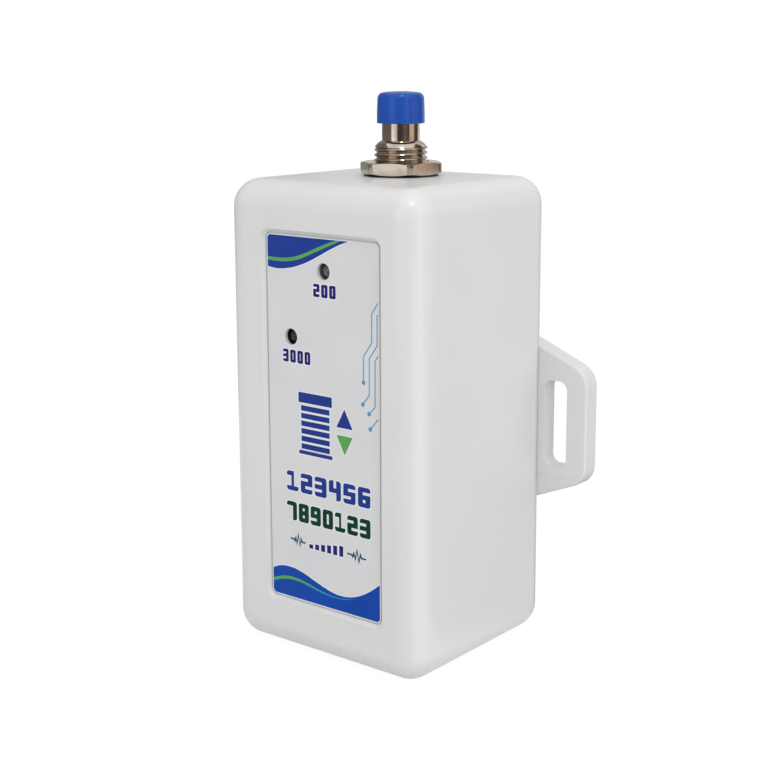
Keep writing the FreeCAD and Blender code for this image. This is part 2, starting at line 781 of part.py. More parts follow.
def buildLockWasher():
    body = addBody("push_button_washer")
    placeBody(body, y="ButtonY", z="CaseHeight")
    ring = addSketch(body, "Ring", "XY", "FlangeTopZ")
    addCircle(ring, "0", "0", "WasherDiameter")
    addCircle(ring, "0", "0", "ThreadDiameter + 2 * PanelClearance")
    pad(body, ring, "WasherThickness", "+Z")
    notch = addSketch(body, "ToothGap", "XY", "FlangeTopZ + WasherThickness")
    addBox(notch, "WasherDiameter / 2 - WasherToothDepth", "WasherDiameter / 2 + WasherToothDepth",
           "-WasherToothWidth / 2", "WasherToothWidth / 2")
    gap = pocket(body, notch, "WasherThickness", "-Z")
    teeth = body.newObject("PartDesign::PolarPattern", "Teeth")
    teeth.Originals = [gap]
    teeth.Axis = (notch, ["N_Axis"])
    teeth.Angle = 360.0
    teeth.setExpression("Occurrences", bound("WasherToothCount"))
    body.Tip = teeth
    doc.recompute()
    return body


def buildCan():
    return turnedBody("push_button_can", [
        ("StemDiameter / 2 + CanStemClearance", "FlangeBaseZ"),
        ("FlangeDiameter / 2", "FlangeBaseZ"),
        ("FlangeDiameter / 2", "CanBaseZ"),
        ("FlangeDiameter / 2 - CanWall", "CanBaseZ"),
        ("FlangeDiameter / 2 - CanWall", "FlangeBaseZ - CanTopThickness"),
        ("StemDiameter / 2 + CanStemClearance", "FlangeBaseZ - CanTopThickness"),
    ])


def buildButtonBase():
    body = addBody("push_button_base")
    placeBody(body, y="ButtonY", z="CaseHeight")
    disc = addSketch(body, "Disc", "XY", "CanBaseZ")
    addCircle(disc, "0", "0", "FlangeDiameter - 2 * CanWall - 2 * PressFit")
    halfGap = "(TerminalThickness / 2 + TerminalFit)"
    for side in ("", "-"):
        centre = f"{side}TerminalSpacing / 2"
        addBox(disc, f"{centre} - {halfGap}", f"{centre} + {halfGap}",
               "-TerminalWidth / 2 - TerminalFit", "TerminalWidth / 2 + TerminalFit")
    pad(body, disc, "BaseThickness", "+Z")
    return body


def buildTerminals():
    body = addBody("push_button_terminals")
    placeBody(body, y="ButtonY", z="CaseHeight")
    blades = addSketch(body, "Blades", "XY", "TerminalTopZ")
    for side in ("", "-"):
        centre = f"{side}TerminalSpacing / 2"
        addBox(blades, f"{centre} - TerminalThickness / 2", f"{centre} + TerminalThickness / 2",
               "-TerminalWidth / 2", "TerminalWidth / 2")
    pad(body, blades, "TerminalTopZ - TerminalBaseZ", "-Z")
    eyes = addSketch(body, "SolderEyes", "YZ", "-TerminalSpacing")
    addCircle(eyes, "0", "TerminalBaseZ + TerminalEyeInset", "TerminalEyeDiameter")
    pocket(body, eyes, "2 * TerminalSpacing", "+X")
    return body


def buildContact():
    body = addBody("push_button_contact")
    placeBody(body, y="ButtonY", z="CaseHeight")
    disc = addSketch(body, "BridgeDisc", "XY", "ContactBaseZ")
    addCircle(disc, "0", "0", "ContactDiameter")
    addCircle(disc, "0", "0", "ContactPinDiameter + 2 * PressFit")
    pad(body, disc, "ContactThickness", "+Z")
    return body


def buildPlunger():
    return turnedBody("push_button_plunger", [
        ("0", "ContactTopZ - ContactPinLength"),
        ("ContactPinDiameter / 2", "ContactTopZ - ContactPinLength"),
        ("ContactPinDiameter / 2", "ContactTopZ"),
        ("StemDiameter / 2", "ContactTopZ"),
        ("StemDiameter / 2", "CollarBaseZ"),
        ("CollarDiameter / 2", "CollarBaseZ"),
        ("CollarDiameter / 2", "CollarTopZ"),
        ("StemDiameter / 2", "CollarTopZ"),
        ("StemDiameter / 2", "CapSocketTopZ - StopGap"),
        ("0", "CapSocketTopZ - StopGap"),
    ])


def buildCap():
    skirt = "(NeckDiameter / 2 + CapSkirtClearance)"
    socket = "(StemDiameter / 2 + PressFit)"
    body = turnedBody("push_button_cap", [
        (skirt, "CapBaseZ"),
        ("CapDiameter / 2", "CapBaseZ"),
        ("CapDiameter / 2", "CapTopZ"),
        ("0", "CapTopZ"),
        ("0", "CapSocketTopZ"),
        (socket, "CapSocketTopZ"),
        (socket, "CapCeilingZ"),
        (skirt, "CapCeilingZ"),
    ])
    crown = body.Shape.BoundBox.ZMax
    dress(body, "Fillet", "CapEdgeRadius", lambda edge: liesAtZ(edge, crown))
    return body


def arcMiddle(first, heading, last):
    # The middle of the arc that leaves the first point along the heading and ends at the last point.
    chord = last - first
    inward = heading.cross(chord).cross(heading).normalize()
    radius = chord.dot(chord) / (2 * chord.dot(inward))
    centre = first + inward * radius
    return centre + ((first + last) * 0.5 - centre).normalize() * radius


def helixWire(radius, pitch, turns, start):
    # A helix about Z as pairs of tangent arcs, four pairs to a turn.
    rise = pitch / (2 * math.pi)

    def pointAt(angle):
        return FreeCAD.Vector(radius * math.cos(angle), radius * math.sin(angle), start + rise * angle)

    def headingAt(angle):
        return FreeCAD.Vector(-radius * math.sin(angle), radius * math.cos(angle), rise).normalize()

    edges = []
    for quarter in range(4 * turns):
        first = pointAt(quarter * math.pi / 2)
        last = pointAt((quarter + 1) * math.pi / 2)
        leave = headingAt(quarter * math.pi / 2)
        arrive = headingAt((quarter + 1) * math.pi / 2)
        chord = last - first
        spread = 2 * (1 - leave.dot(arrive))
        along = chord.dot(leave + arrive)
        handle = (math.sqrt(along * along + spread * chord.dot(chord)) - along) / spread
        joint = (first + last + (leave - arrive) * handle) * 0.5
        edges.append(Part.Arc(first, arcMiddle(first, leave, joint), joint).toShape())
        edges.append(Part.Arc(joint, arcMiddle(last, arrive * -1, joint), last).toShape())
    return Part.Wire(edges)


def tubeAlong(label, path, foot, heading, gauge):
    # A round tube along a path; its volume shows whether the sweep went well.
    section = Part.Wire([Part.Circle(foot, heading, gauge / 2).toShape()])
    tube = path.makePipeShell([section], True, False)
    wanted = path.Length * math.pi * gauge ** 2 / 4
    if abs(tube.Volume - wanted) > 0.02 * wanted:
        raise RuntimeError(f"{label}: the tube's volume is {tube.Volume:.2f}, not {wanted:.2f}")
    return tube


samplesPerTurn = 24


def buildSpring():
    spring = doc.addObject("Part::Feature", "push_button_spring")
    spring.Label = "push_button_spring"
    gauge = at("SpringWire")
    low = at("FlangeBaseZ") + gauge / 2
    high = at("CollarBaseZ") - gauge / 2
    turns = int(at("SpringTurns"))
    pitch = (high - low) / turns
    radius = at("SpringDiameter") / 2 - gauge / 2
    path = helixWire(radius, pitch, turns, low)
    points = path.discretize(Number=samplesPerTurn * turns + 1)
    leastGap = min(
        (late - early).Length
        for step, early in enumerate(points)
        for late in points[step + samplesPerTurn // 2:]
    ) - gauge
    print(f"{spring.Label}: least gap between turns {leastGap:.2f}")
    foot = FreeCAD.Vector(radius, 0, low)
    heading = FreeCAD.Vector(0, radius, pitch / (2 * math.pi))
    spring.Shape = tubeAlong(spring.Label, path, foot, heading, gauge)
    spring.Placement = FreeCAD.Placement(
        FreeCAD.Vector(0, at("ButtonY"), at("CaseHeight")), FreeCAD.Rotation()
    )
    return spring


def buildCircuitBoard():
    body = addBody("circuit_board")
    outline = addSketch(body, "BoardOutline", "XZ", "BoardFrontY")
    addPolygon(outline, [
        ("-BoardWidth / 2", "BoardBaseZ"),
        ("BoardWidth / 2", "BoardBaseZ"),
        ("BoardWidth / 2", "BoardTopZ"),
        ("BoardNeckWidth / 2", "BoardTopZ"),
        ("BoardNeckWidth / 2", "BoardCrownZ"),
        ("-BoardNeckWidth / 2", "BoardCrownZ"),
        ("-BoardNeckWidth / 2", "BoardTopZ"),
        ("-BoardWidth / 2", "BoardTopZ"),
    ])
    for across, up in standoffCentres:
        addCircle(outline, across, up, "BoardScrewDiameter + 2 * ScrewClearance")
    for side in (-1, 1):
        addCircle(outline, f"LedX + {side} * LeadPitch / 2", "LedZ", "LeadHoleDiameter")
        for level in (-1, 1):
            addCircle(outline, f"KeyX + {side} * (KeyBodySide + KeyPinThickness) / 2",
                      f"KeyZ + {level} * KeyPinPitch / 2", "KeyPinHoleDiameter")
    pad(body, outline, "BoardThickness", "+Y")
    half = at("BoardWidth") / 2
    dress(body, "Fillet", "BoardCornerRadius",
          lambda edge: runsAlong(edge, "Y") and near(abs(edge.BoundBox.XMin), half))
    return body


def buildLed():
    body = addBody("indicator_led")
    placeBody(body, x="LedX", z="LedZ")
    flange = addSketch(body, "Flange", "XZ", "BoardFrontY")
    addCircle(flange, "0", "0", "LedFlangeDiameter")
    pad(body, flange, "LedFlangeThickness", "-Y")
    lens = addSketch(body, "Lens", "XZ", "BoardFrontY")
    addCircle(lens, "0", "0", "LedDiameter")
    pad(body, lens, "BoardFrontY - WindowTipY", "-Y")
    dress(body, "Fillet", "(LedDiameter - LedTipFlat) / 2", lambda edge: liesAtY(edge, at("WindowTipY")))
    return body


def buildLedLeads():
    body = addBody("indicator_led_leads")
    placeBody(body, x="LedX", z="LedZ")
    leads = addSketch(body, "Leads", "XZ", "BoardFrontY")
    for side in ("", "-"):
        centre = f"{side}LeadPitch / 2"
        addBox(leads, f"{centre} - LeadWidth / 2", f"{centre} + LeadWidth / 2",
               "-LeadWidth / 2", "LeadWidth / 2")
    pad(body, leads, "BoardThickness + LeadTail", "+Y")
    return body


def buildKeyBody():
    body = addBody("setup_key_body")
    placeBody(body, x="KeyX", z="KeyZ")
    block = addSketch(body, "Block", "XZ", "BoardFrontY")
    addBox(block, "-KeyBodySide / 2", "KeyBodySide / 2", "-KeyBodySide / 2", "KeyBodySide / 2")
    pad(body, block, "KeyBodyHeight", "-Y")
    well = addSketch(body, "PlungerWell", "XZ", "KeyBodyFrontY")
    addCircle(well, "0", "0", "KeyPlungerDiameter + 2 * KeyPlungerFit")
    pocket(body, well, "KeyPlungerSeat + KeyTravel + StopGap", "+Y")
    return body


def buildKeyCover():
    body = addBody("setup_key_cover")
    placeBody(body, x="KeyX", z="KeyZ")
    plate = addSketch(body, "CoverPlate", "XZ", "KeyBodyFrontY")
    addBox(plate, "-KeyBodySide / 2", "KeyBodySide / 2", "-KeyBodySide / 2", "KeyBodySide / 2")
    addCircle(plate, "0", "0", "KeyPlungerDiameter + 2 * KeyPlungerFit")
    pad(body, plate, "KeyCoverThickness", "-Y")
    return body


def buildKeyPlunger():
    body = addBody("setup_key_plunger")
    placeBody(body, x="KeyX", z="KeyZ")
    post = addSketch(body, "Post", "XZ", "KeyBodyFrontY + KeyPlungerSeat")
    addCircle(post, "0", "0", "KeyPlungerDiameter")
    pad(body, post, "KeyBodyFrontY + KeyPlungerSeat - WindowTipY", "-Y")
    tipRound = "(KeyPlungerDiameter - KeyTipFlat) / 2"
    dress(body, "Fillet", tipRound, lambda edge: liesAtY(edge, at("WindowTipY")))
    return body


def buildKeyPins():
    body = addBody("setup_key_pins")
    placeBody(body, x="KeyX", z="KeyZ")
    pins = addSketch(body, "Pins", "XZ", "BoardFrontY - KeyPinRise")
    for side in (-1, 1):
        for level in (-1, 1):
            across = f"({side} * (KeyBodySide + KeyPinThickness) / 2)"
            up = f"({level} * KeyPinPitch / 2)"
            addBox(pins, f"{across} - KeyPinThickness / 2", f"{across} + KeyPinThickness / 2",
                   f"{up} - KeyPinWidth / 2", f"{up} + KeyPinWidth / 2")
    pad(body, pins, "KeyPinRise + BoardThickness + LeadTail", "+Y")
    return body


def buildChip():
    body = addBody("microcontroller")
    placeBody(body, x="ChipX", z="ChipZ")
    block = addSketch(body, "Block", "XZ", "BoardBackY + ChipStandoff")
    addBox(block, "-ChipWidth / 2", "ChipWidth / 2", "-ChipLength / 2", "ChipLength / 2")
    pad(body, block, "ChipHeight", "+Y")
    top = at("BoardBackY") + at("ChipStandoff") + at("ChipHeight")
    dress(body, "Chamfer", "ChipEdgeBreak", lambda edge: liesAtY(edge, top))
    return body


def buildChipLegs():
    # Gull wing legs: one pair is drawn and repeated up the chip's sides.
    body = addBody("microcontroller_legs")
    placeBody(body, x="ChipX", z="ChipZ")
    start = "-(ChipLegCount - 1) * ChipLegPitch / 2 - ChipLegWidth / 2"
    pair = addSketch(body, "LegPair", "XY", start)
    shoulder = "(BoardBackY + ChipStandoff + ChipHeight / 2)"
    root = "(ChipWidth / 2)"
    knee = "(ChipWidth / 2 + ChipLegReach / 2)"
    toe = "(ChipWidth / 2 + ChipLegReach)"
    for side in ("", "-"):
        addPolygon(pair, [
            (f"{side}{root}", shoulder),
            (f"{side}{knee}", shoulder),
            (f"{side}{knee}", "BoardBackY + ChipLegThickness"),
            (f"{side}{toe}", "BoardBackY + ChipLegThickness"),
            (f"{side}{toe}", "BoardBackY"),
            (f"{side}({knee} - ChipLegThickness)", "BoardBackY"),
            (f"{side}({knee} - ChipLegThickness)", f"{shoulder} - ChipLegThickness"),
            (f"{side}{root}", f"{shoulder} - ChipLegThickness"),
        ])
    legs = pad(body, pair, "ChipLegWidth", "+Z")
    rows = body.newObject("PartDesign::LinearPattern", "LegRows")
    rows.Originals = [legs]
    rows.Direction = (pair, ["N_Axis"])
    rows.setExpression("Length", bound("(ChipLegCount - 1) * ChipLegPitch"))
    rows.setExpression("Occurrences", bound("ChipLegCount"))
    body.Tip = rows
    doc.recompute()
    return body


def buildRadioBoard():
    body = addBody("radio_board")
    placeBody(body, x="RadioX", z="RadioZ")
    plate = addSketch(body, "Plate", "XZ", "BoardBackY")
    addBox(plate, "-RadioWidth / 2", "RadioWidth / 2", "-RadioHeight / 2", "RadioHeight / 2")
    pad(body, plate, "RadioBoardThickness", "+Y")
    return body


def buildRadioShield():
    body = addBody("radio_shield")
    placeBody(body, x="RadioX", z="RadioZ")
    box = addSketch(body, "Box", "XZ", "BoardBackY + RadioBoardThickness")
    addBox(box, "-ShieldWidth / 2", "ShieldWidth / 2", "-ShieldHeight / 2", "ShieldHeight / 2")
    pad(body, box, "ShieldDepth", "+Y")
    dress(body, "Fillet", "ShieldCornerRadius", lambda edge: runsAlong(edge, "Y"))
    return body


def buildAntenna():
    # The close-wound antenna as a plain sleeve of the winding's size.
    body = addBody("antenna_coil")
    placeBody(body, x="AntennaX", y="BoardBackY + AntennaDiameter / 2 + AntennaGap", z="AntennaZ")
    ring = addSketch(body, "Winding", "XY")
    addCircle(ring, "0", "0", "AntennaDiameter")
    addCircle(ring, "0", "0", "AntennaDiameter - 2 * AntennaWire")
    pad(body, ring, "AntennaLength", "+Z")
    return body


def buildCapacitor():
    # The profile's height runs along +Y, off the back of the board.
    body = addBody("electrolytic_capacitor")
    placeBody(body, x="CapacitorX", y="BoardBackY", z="CapacitorZ")
    body.Placement.Rotation = FreeCAD.Rotation(FreeCAD.Vector(1, 0, 0), -90)
    profile = addSketch(body, "CanProfile", "XZ")
    radius = "(CapacitorDiameter / 2)"
    waist = f"({radius} - CapacitorGrooveDepth)"
    addPolygon(profile, [
        ("0", "0"),
        (radius, "0"),
        (radius, "CapacitorGrooveRise"),
        (waist, "CapacitorGrooveRise + CapacitorGrooveWidth / 2"),
        (radius, "CapacitorGrooveRise + CapacitorGrooveWidth"),
        (radius, "CapacitorLength"),
        ("0", "CapacitorLength"),
    ])
    revolve(body, profile)
    return body


def buildChipRow(label, count, rowX, height):
    body = addBody(label)
    placeBody(body, x=rowX, z="ChipPartRowZ")
    first = addSketch(body, "FirstPart", "XZ", "BoardBackY")
    addBox(first, "-ChipPartLength / 2", "ChipPartLength / 2", "-ChipPartWidth / 2", "ChipPartWidth / 2")
    chip = pad(body, first, height, "+Y")
    row = body.newObject("PartDesign::LinearPattern", "Row")
    row.Originals = [chip]
    row.Direction = (first, ["V_Axis"])
    row.setExpression("Length", bound(f"({count} - 1) * ChipPartPitch"))
    row.setExpression("Occurrences", bound(count))
    body.Tip = row
    doc.recompute()
    return body


def buildBattery():
    body = addBody("battery_jacket")
    placeBody(body, y="BatteryCentreY", z="BatteryBaseZ")
    block = addSketch(body, "Block", "XY")
    addBox(block, "-BatteryWidth / 2", "BatteryWidth / 2", "-BatteryDepth / 2", "BatteryDepth / 2")
    pad(body, block, "BatteryHeight", "+Z")
    dress(body, "Fillet", "BatteryCornerRadius", lambda edge: runsAlong(edge, "Z"))
    dress(body, "Chamfer", "BatteryEdgeBreak", lambda edge: edge.BoundBox.ZLength < tiny)
    return body


def buildBatteryStuds():
    # One plain stud and one wider hexagonal socket.
    body = addBody("battery_studs")
    placeBody(body, y="BatteryCentreY", z="BatteryTopZ")
    stud = addSketch(body, "Stud", "XY")
    addCircle(stud, "-StudSpacing / 2", "0", "StudDiameter")
    pad(body, stud, "StudHeight", "+Z")
    socket = addSketch(body, "Socket", "XY")
    half = "(SocketDiameter / 2)"
    centre = "StudSpacing / 2"
    addPolygon(socket, [
        (f"{centre} + {half}", "0"),
        (f"{centre} + {half} / 2", f"{half} * sqrt(3) / 2"),
        (f"{centre} - {half} / 2", f"{half} * sqrt(3) / 2"),
        (f"{centre} - {half}", "0"),
        (f"{centre} - {half} / 2", f"-{half} * sqrt(3) / 2"),
        (f"{centre} + {half} / 2", f"-{half} * sqrt(3) / 2"),
    ])
    addCircle(socket, centre, "0", "StudDiameter")
    pad(body, socket, "StudHeight", "+Z")
    return body


def buildBatterySnap():
    body = addBody("battery_snap")
    placeBody(body, y="BatteryCentreY", z="BatteryTopZ")
    plate = addSketch(body, "Plate", "XY")
    addBox(plate, "-SnapWidth / 2", "SnapWidth / 2", "-SnapDepth / 2", "SnapDepth / 2")
    pad(body, plate, "SnapHeight", "+Z")
    dress(body, "Fillet", "SnapCornerRadius", lambda edge: runsAlong(edge, "Z"))
    cups = addSketch(body, "Cups", "XY")
    for side in ("", "-"):
        addCircle(cups, f"{side}StudSpacing / 2", "0", "SocketDiameter + 2 * SnapFit")
    pocket(body, cups, "StudHeight + SnapFit", "+Z")
    return body


# A wire leaves square, slants between two points on its way, and lands square; an arc takes up
# nearly half of each run beside it.
slantStart = 0.35
slantEnd = 0.65
arcShare = 0.45


def layWire(label, corners):
    # A round wire along straight runs with a tangent arc at each inner corner.
    gauge = at("WireDiameter")
    points = [FreeCAD.Vector(*corner) for corner in corners]
    edges = []
    cursor = points[0]
    for before, corner, after in zip(points, points[1:], points[2:]):
        back = (before - corner).normalize()
        onward = (after - corner).normalize()
        halfTurn = (math.pi - back.getAngle(onward)) / 2
        setback = arcShare * min((before - corner).Length, (after - corner).Length)
        radius = setback / math.tan(halfTurn)
        enter = corner + back * setback
        leave = corner + onward * setback
        middle = corner + (back + onward).normalize() * (radius / math.cos(halfTurn) - radius)
        edges.append(Part.LineSegment(cursor, enter).toShape())
        edges.append(Part.Arc(enter, middle, leave).toShape())
        cursor = leave
        print(f"{label}: bend radius {radius:.1f}")
    edges.append(Part.LineSegment(cursor, points[-1]).toShape())
    path = Part.Wire(edges)
    wire = doc.addObject("Part::Feature", label)
    wire.Label = label
    wire.Shape = tubeAlong(label, path, points[0], points[1] - points[0], gauge)
    return wire


def buildBatteryWire(label, side):
    snapFrontY = at("BatteryCentreY") - at("SnapDepth") / 2
    snapMidZ = at("BatteryTopZ") + at("SnapHeight") / 2
    boardY = at("BoardBackY")
    reach = snapFrontY - boardY
    x = side * at("BatteryWireX")
    return layWire(label, [
        (x, snapFrontY, snapMidZ),
        (x, snapFrontY - reach * slantStart, snapMidZ),
        (x, snapFrontY - reach * slantEnd, at("BatteryWireEndZ")),
        (x, boardY, at("BatteryWireEndZ")),
    ])


def buildButtonWire(label, side):
    bladeFrontY = at("ButtonY") - at("TerminalWidth") / 2
    startZ = at("CaseHeight") + at("TerminalBaseZ") + at("ButtonWireDrop")
    boardY = at("BoardBackY")
    reach = bladeFrontY - boardY
    x = side * at("TerminalSpacing") / 2
    return layWire(label, [
        (x, bladeFrontY, startZ),
        (x, bladeFrontY - reach * slantStart, startZ),
        (x, bladeFrontY - reach * slantEnd, at("ButtonWireEndZ")),
        (x, boardY, at("ButtonWireEndZ")),
    ])


pieces = [
    buildFrontHousing(),
    buildBackCover(),
    buildScrewSet("cover_screws", bossCentres, "ScrewSeatY", "CoverScrewDiameter", "CoverScrewLength",
                  "CoverScrewHeadDiameter", "CoverScrewHeadHeight", "CoverScrewHeadBevel"),
    buildLabelPlate(),
    buildNut(),
    buildBushing(),
    buildLockWasher(),
    buildCan(),
    buildButtonBase(),
    buildTerminals(),
    buildContact(),
    buildPlunger(),
    buildCap(),
    buildSpring(),
    buildCircuitBoard(),
    buildScrewSet("board_screws", standoffCentres, "BoardBackY", "BoardScrewDiameter", "BoardScrewLength",
                  "BoardScrewHeadDiameter", "BoardScrewHeadHeight", "BoardScrewHeadBevel"),
    buildLed(),
    buildLedLeads(),
    buildKeyBody(),
    buildKeyCover(),
    buildKeyPlunger(),
    buildKeyPins(),
    buildChip(),
    buildChipLegs(),
    buildRadioBoard(),
    buildRadioShield(),
    buildAntenna(),
    buildCapacitor(),
    buildChipRow("chip_resistors", "ResistorCount", "ResistorRowX", "ResistorHeight"),
    buildChipRow("chip_capacitors", "CeramicCount", "CeramicRowX", "CeramicHeight"),
    buildBattery(),
    buildBatteryStuds(),
    buildBatterySnap(),
    buildBatteryWire("battery_wire_plus", 1),
    buildBatteryWire("battery_wire_minus", -1),
    buildButtonWire("button_wire_right", 1),
    buildButtonWire("button_wire_left", -1),
]

doc.recompute()
for item in doc.Objects:
    if "Invalid" in item.State or "Error" in item.State:
        raise RuntimeError(f"{item.Label} did not rebuild: {item.State}")
for piece in pieces:
    if piece.Shape.isNull() or not piece.Shape.isValid():
        raise RuntimeError(f"{piece.Label} has no valid shape")

os.makedirs("parts", exist_ok=True)
for piece in pieces:
    piece.Shape.exportStep(os.path.join("parts", piece.Label + ".step"))
    box = piece.Shape.BoundBox
    print(f"{piece.Label}: {len(piece.Shape.Solids)} solid, volume {piece.Shape.Volume:.1f},"
          f" z {box.ZMin:.2f} to {box.ZMax:.2f}")
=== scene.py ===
import bpy
import json
import math
from mathutils import Matrix, Vector


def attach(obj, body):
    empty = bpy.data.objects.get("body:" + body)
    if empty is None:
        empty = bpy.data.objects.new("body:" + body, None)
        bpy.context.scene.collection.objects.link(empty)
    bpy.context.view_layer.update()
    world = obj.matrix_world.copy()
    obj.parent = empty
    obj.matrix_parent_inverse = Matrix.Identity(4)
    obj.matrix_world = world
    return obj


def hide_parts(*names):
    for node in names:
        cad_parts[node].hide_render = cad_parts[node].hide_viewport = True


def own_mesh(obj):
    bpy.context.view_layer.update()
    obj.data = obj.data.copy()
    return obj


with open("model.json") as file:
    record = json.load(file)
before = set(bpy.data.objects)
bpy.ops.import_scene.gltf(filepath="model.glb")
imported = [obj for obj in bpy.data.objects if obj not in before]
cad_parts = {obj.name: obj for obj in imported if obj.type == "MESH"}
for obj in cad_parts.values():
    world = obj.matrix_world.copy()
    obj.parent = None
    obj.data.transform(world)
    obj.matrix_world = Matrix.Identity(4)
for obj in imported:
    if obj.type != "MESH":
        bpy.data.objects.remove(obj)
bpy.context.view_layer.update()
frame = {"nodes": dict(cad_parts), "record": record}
mm = 0.001
hair = 1e-6
print("frame loaded:", len(frame["nodes"]), "nodes")


def setMode(mode):
    bpy.ops.object.mode_set(mode=mode)


def markAll(action):
    bpy.ops.mesh.select_all(action=action)


def pick(*pieces):
    if bpy.context.object and bpy.context.object.mode != "OBJECT":
        setMode("OBJECT")
    bpy.ops.object.select_all(action="DESELECT")
    for piece in pieces:
        piece.select_set(True)
    if pieces:
        bpy.context.view_layer.objects.active = pieces[0]


def settle(piece):
    # The place goes into the mesh, the object stays at the origin.
    pick(piece)
    bpy.ops.object.transform_apply(location=True, rotation=True, scale=True)


def applyAll(piece):
    pick(piece)
    for modifier in list(piece.modifiers):
        bpy.ops.object.modifier_apply(modifier=modifier.name)


def smooth(piece, angle=30):
    pick(piece)
    bpy.ops.object.shade_smooth_by_angle(angle=math.radians(angle))
    weighted = piece.modifiers.new("evenNormals", "WEIGHTED_NORMAL")
    weighted.keep_sharp = True
    weighted.weight = 90
    applyAll(piece)
    return piece


def editWhole(piece, operation, **settings):
    # One edit-mode operation on the whole mesh.
    pick(piece)
    setMode("EDIT")
    markAll("SELECT")
    operation(**settings)
    setMode("OBJECT")


def mergeDoubles(piece, distance=0.0005):
    # Distance in mm.
    editWhole(piece, bpy.ops.mesh.remove_doubles, threshold=distance * mm)


def faceOutwards(piece):
    editWhole(piece, bpy.ops.mesh.normals_make_consistent, inside=False)


def selectEdges(piece, wanted):
    # Edit mode with only the edges that wanted(first corner, second corner) says yes to.
    pick(piece)
    setMode("EDIT")
    markAll("DESELECT")
    bpy.ops.mesh.select_mode(type="EDGE")
    setMode("OBJECT")
    corners = piece.data.vertices
    for edge in piece.data.edges:
        edge.select = wanted(corners[edge.vertices[0]].co, corners[edge.vertices[1]].co)
    setMode("EDIT")


def roundEdges(piece, wanted, radius, segments):
    # Rounds the wanted edges, radius in mm.
    selectEdges(piece, wanted)
    bpy.ops.mesh.bevel(offset=radius * mm, segments=segments, affect="EDGES")
    setMode("OBJECT")


def hand(piece, body, slotName, *nodes, finish=None):
    # Body, slot and the nodes that the piece stands for; its finish is its slot's unless another is named.
    piece.data.materials.clear()
    piece.data.materials.append(finishes[finish or slotName])
    for face in piece.data.polygons:
        face.material_index = 0
    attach(piece, body)
    if nodes:
        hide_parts(*nodes)
    return piece


def newObject(name, data):
    piece = bpy.data.objects.new(name, data)
    bpy.context.scene.collection.objects.link(piece)
    return piece


def copyOfNode(node, name):
    # A node's shape with its loose triangles joined, to be dressed and made smooth.
    piece = newObject(name, frame["nodes"][node].data.copy())
    pick(piece)
    if piece.data.has_custom_normals:
        bpy.ops.mesh.customdata_custom_splitnormals_clear()
    mergeDoubles(piece, 0.0002)
    return piece


def startPoint(name, place):
    # A mesh of one vertex, to be drawn out into a profile.
    pick()
    bpy.ops.mesh.primitive_plane_add(size=mm, location=(0, 0, 0))
    piece = bpy.context.object
    piece.name = name
    setMode("EDIT")
    bpy.ops.mesh.select_mode(type="VERT")
    markAll("SELECT")
    bpy.ops.mesh.merge(type="CENTER")
    bpy.ops.transform.translate(value=place)
    return piece


def drawProfile(name, profile, closed):
    # Radius and height pairs in mm, drawn point by point in the XZ plane.
    first = profile[0]
    piece = startPoint(name, (first[0] * mm, 0, first[1] * mm))
    for before, after in zip(profile, profile[1:]):
        step = ((after[0] - before[0]) * mm, 0, (after[1] - before[1]) * mm)
        bpy.ops.mesh.extrude_vertices_move(TRANSFORM_OT_translate={"value": step})
    if closed:
        setMode("OBJECT")
        count = len(piece.data.vertices)
        for index, vertex in enumerate(piece.data.vertices):
            vertex.select = index in (0, count - 1)
        setMode("EDIT")
        bpy.ops.mesh.edge_face_add()
    markAll("SELECT")
    return piece


def turned(name, profile, centre, steps=96, closed=False, lying=False):
    # A profile spun round its axis through centre (mm); lying, its height runs towards the label's side.
    piece = drawProfile(name, profile, closed)
    bpy.ops.mesh.spin(steps=steps, angle=2 * math.pi, center=(0, 0, 0), axis=(0, 0, 1))
    mergeDoubles(piece)
    faceOutwards(piece)
    piece.location = Vector(centre) * mm
    piece.rotation_euler = (math.pi / 2 if lying else 0, 0, 0)
    settle(piece)
    return piece


def bow(centreX, centreZ, radius, start, end, count):
    # Points of an arc in a profile, angles in degrees.
    points = []
    for step in range(count + 1):
        turn = math.radians(start + (end - start) * step / count)
        points.append((centreX + radius * math.cos(turn), centreZ + radius * math.sin(turn)))
    return points


def block(name, low, high):
    # A box between two corners in mm, a start for cutting tools.
    pick()
    centre = [(first + last) / 2 * mm for first, last in zip(low, high)]
    size = [(last - first) * mm for first, last in zip(low, high)]
    bpy.ops.mesh.primitive_cube_add(size=1, location=centre, scale=size)
    piece = bpy.context.object
    piece.name = name
    settle(piece)
    return piece


def cutWith(piece, tool, operation="DIFFERENCE"):
    cut = piece.modifiers.new("cut", "BOOLEAN")
    cut.operation = operation
    cut.solver = "EXACT"
    cut.object = tool
    applyAll(piece)
    bpy.data.objects.remove(tool)


def softEdges(piece, width, segments, angle):
    bevel = piece.modifiers.new("softEdges", "BEVEL")
    bevel.width = width * mm
    bevel.segments = segments
    bevel.limit_method = "ANGLE"
    bevel.angle_limit = math.radians(angle)
    applyAll(piece)


def newSkin(name, inputs):
    # A group whose inputs are colours or numbers; every skin gives a colour, a roughness and a height.
    tree = bpy.data.node_groups.new(name, "ShaderNodeTree")
    for title, value in inputs.items():
        kind = "NodeSocketFloat" if isinstance(value, float) else "NodeSocketColor"
        socket = tree.interface.new_socket(name=title, in_out="INPUT", socket_type=kind)
        socket.default_value = value
    for title, kind in (("Colour", "Color"), ("Roughness", "Float"), ("Height", "Float")):
        tree.interface.new_socket(name=title, in_out="OUTPUT", socket_type="NodeSocket" + kind)
    return tree, tree.nodes.new("NodeGroupInput").outputs, tree.nodes.new("NodeGroupOutput").inputs


def feed(tree, socket, value):
    if hasattr(value, "is_linked"):
        tree.links.new(value, socket)
    else:
        socket.default_value = value


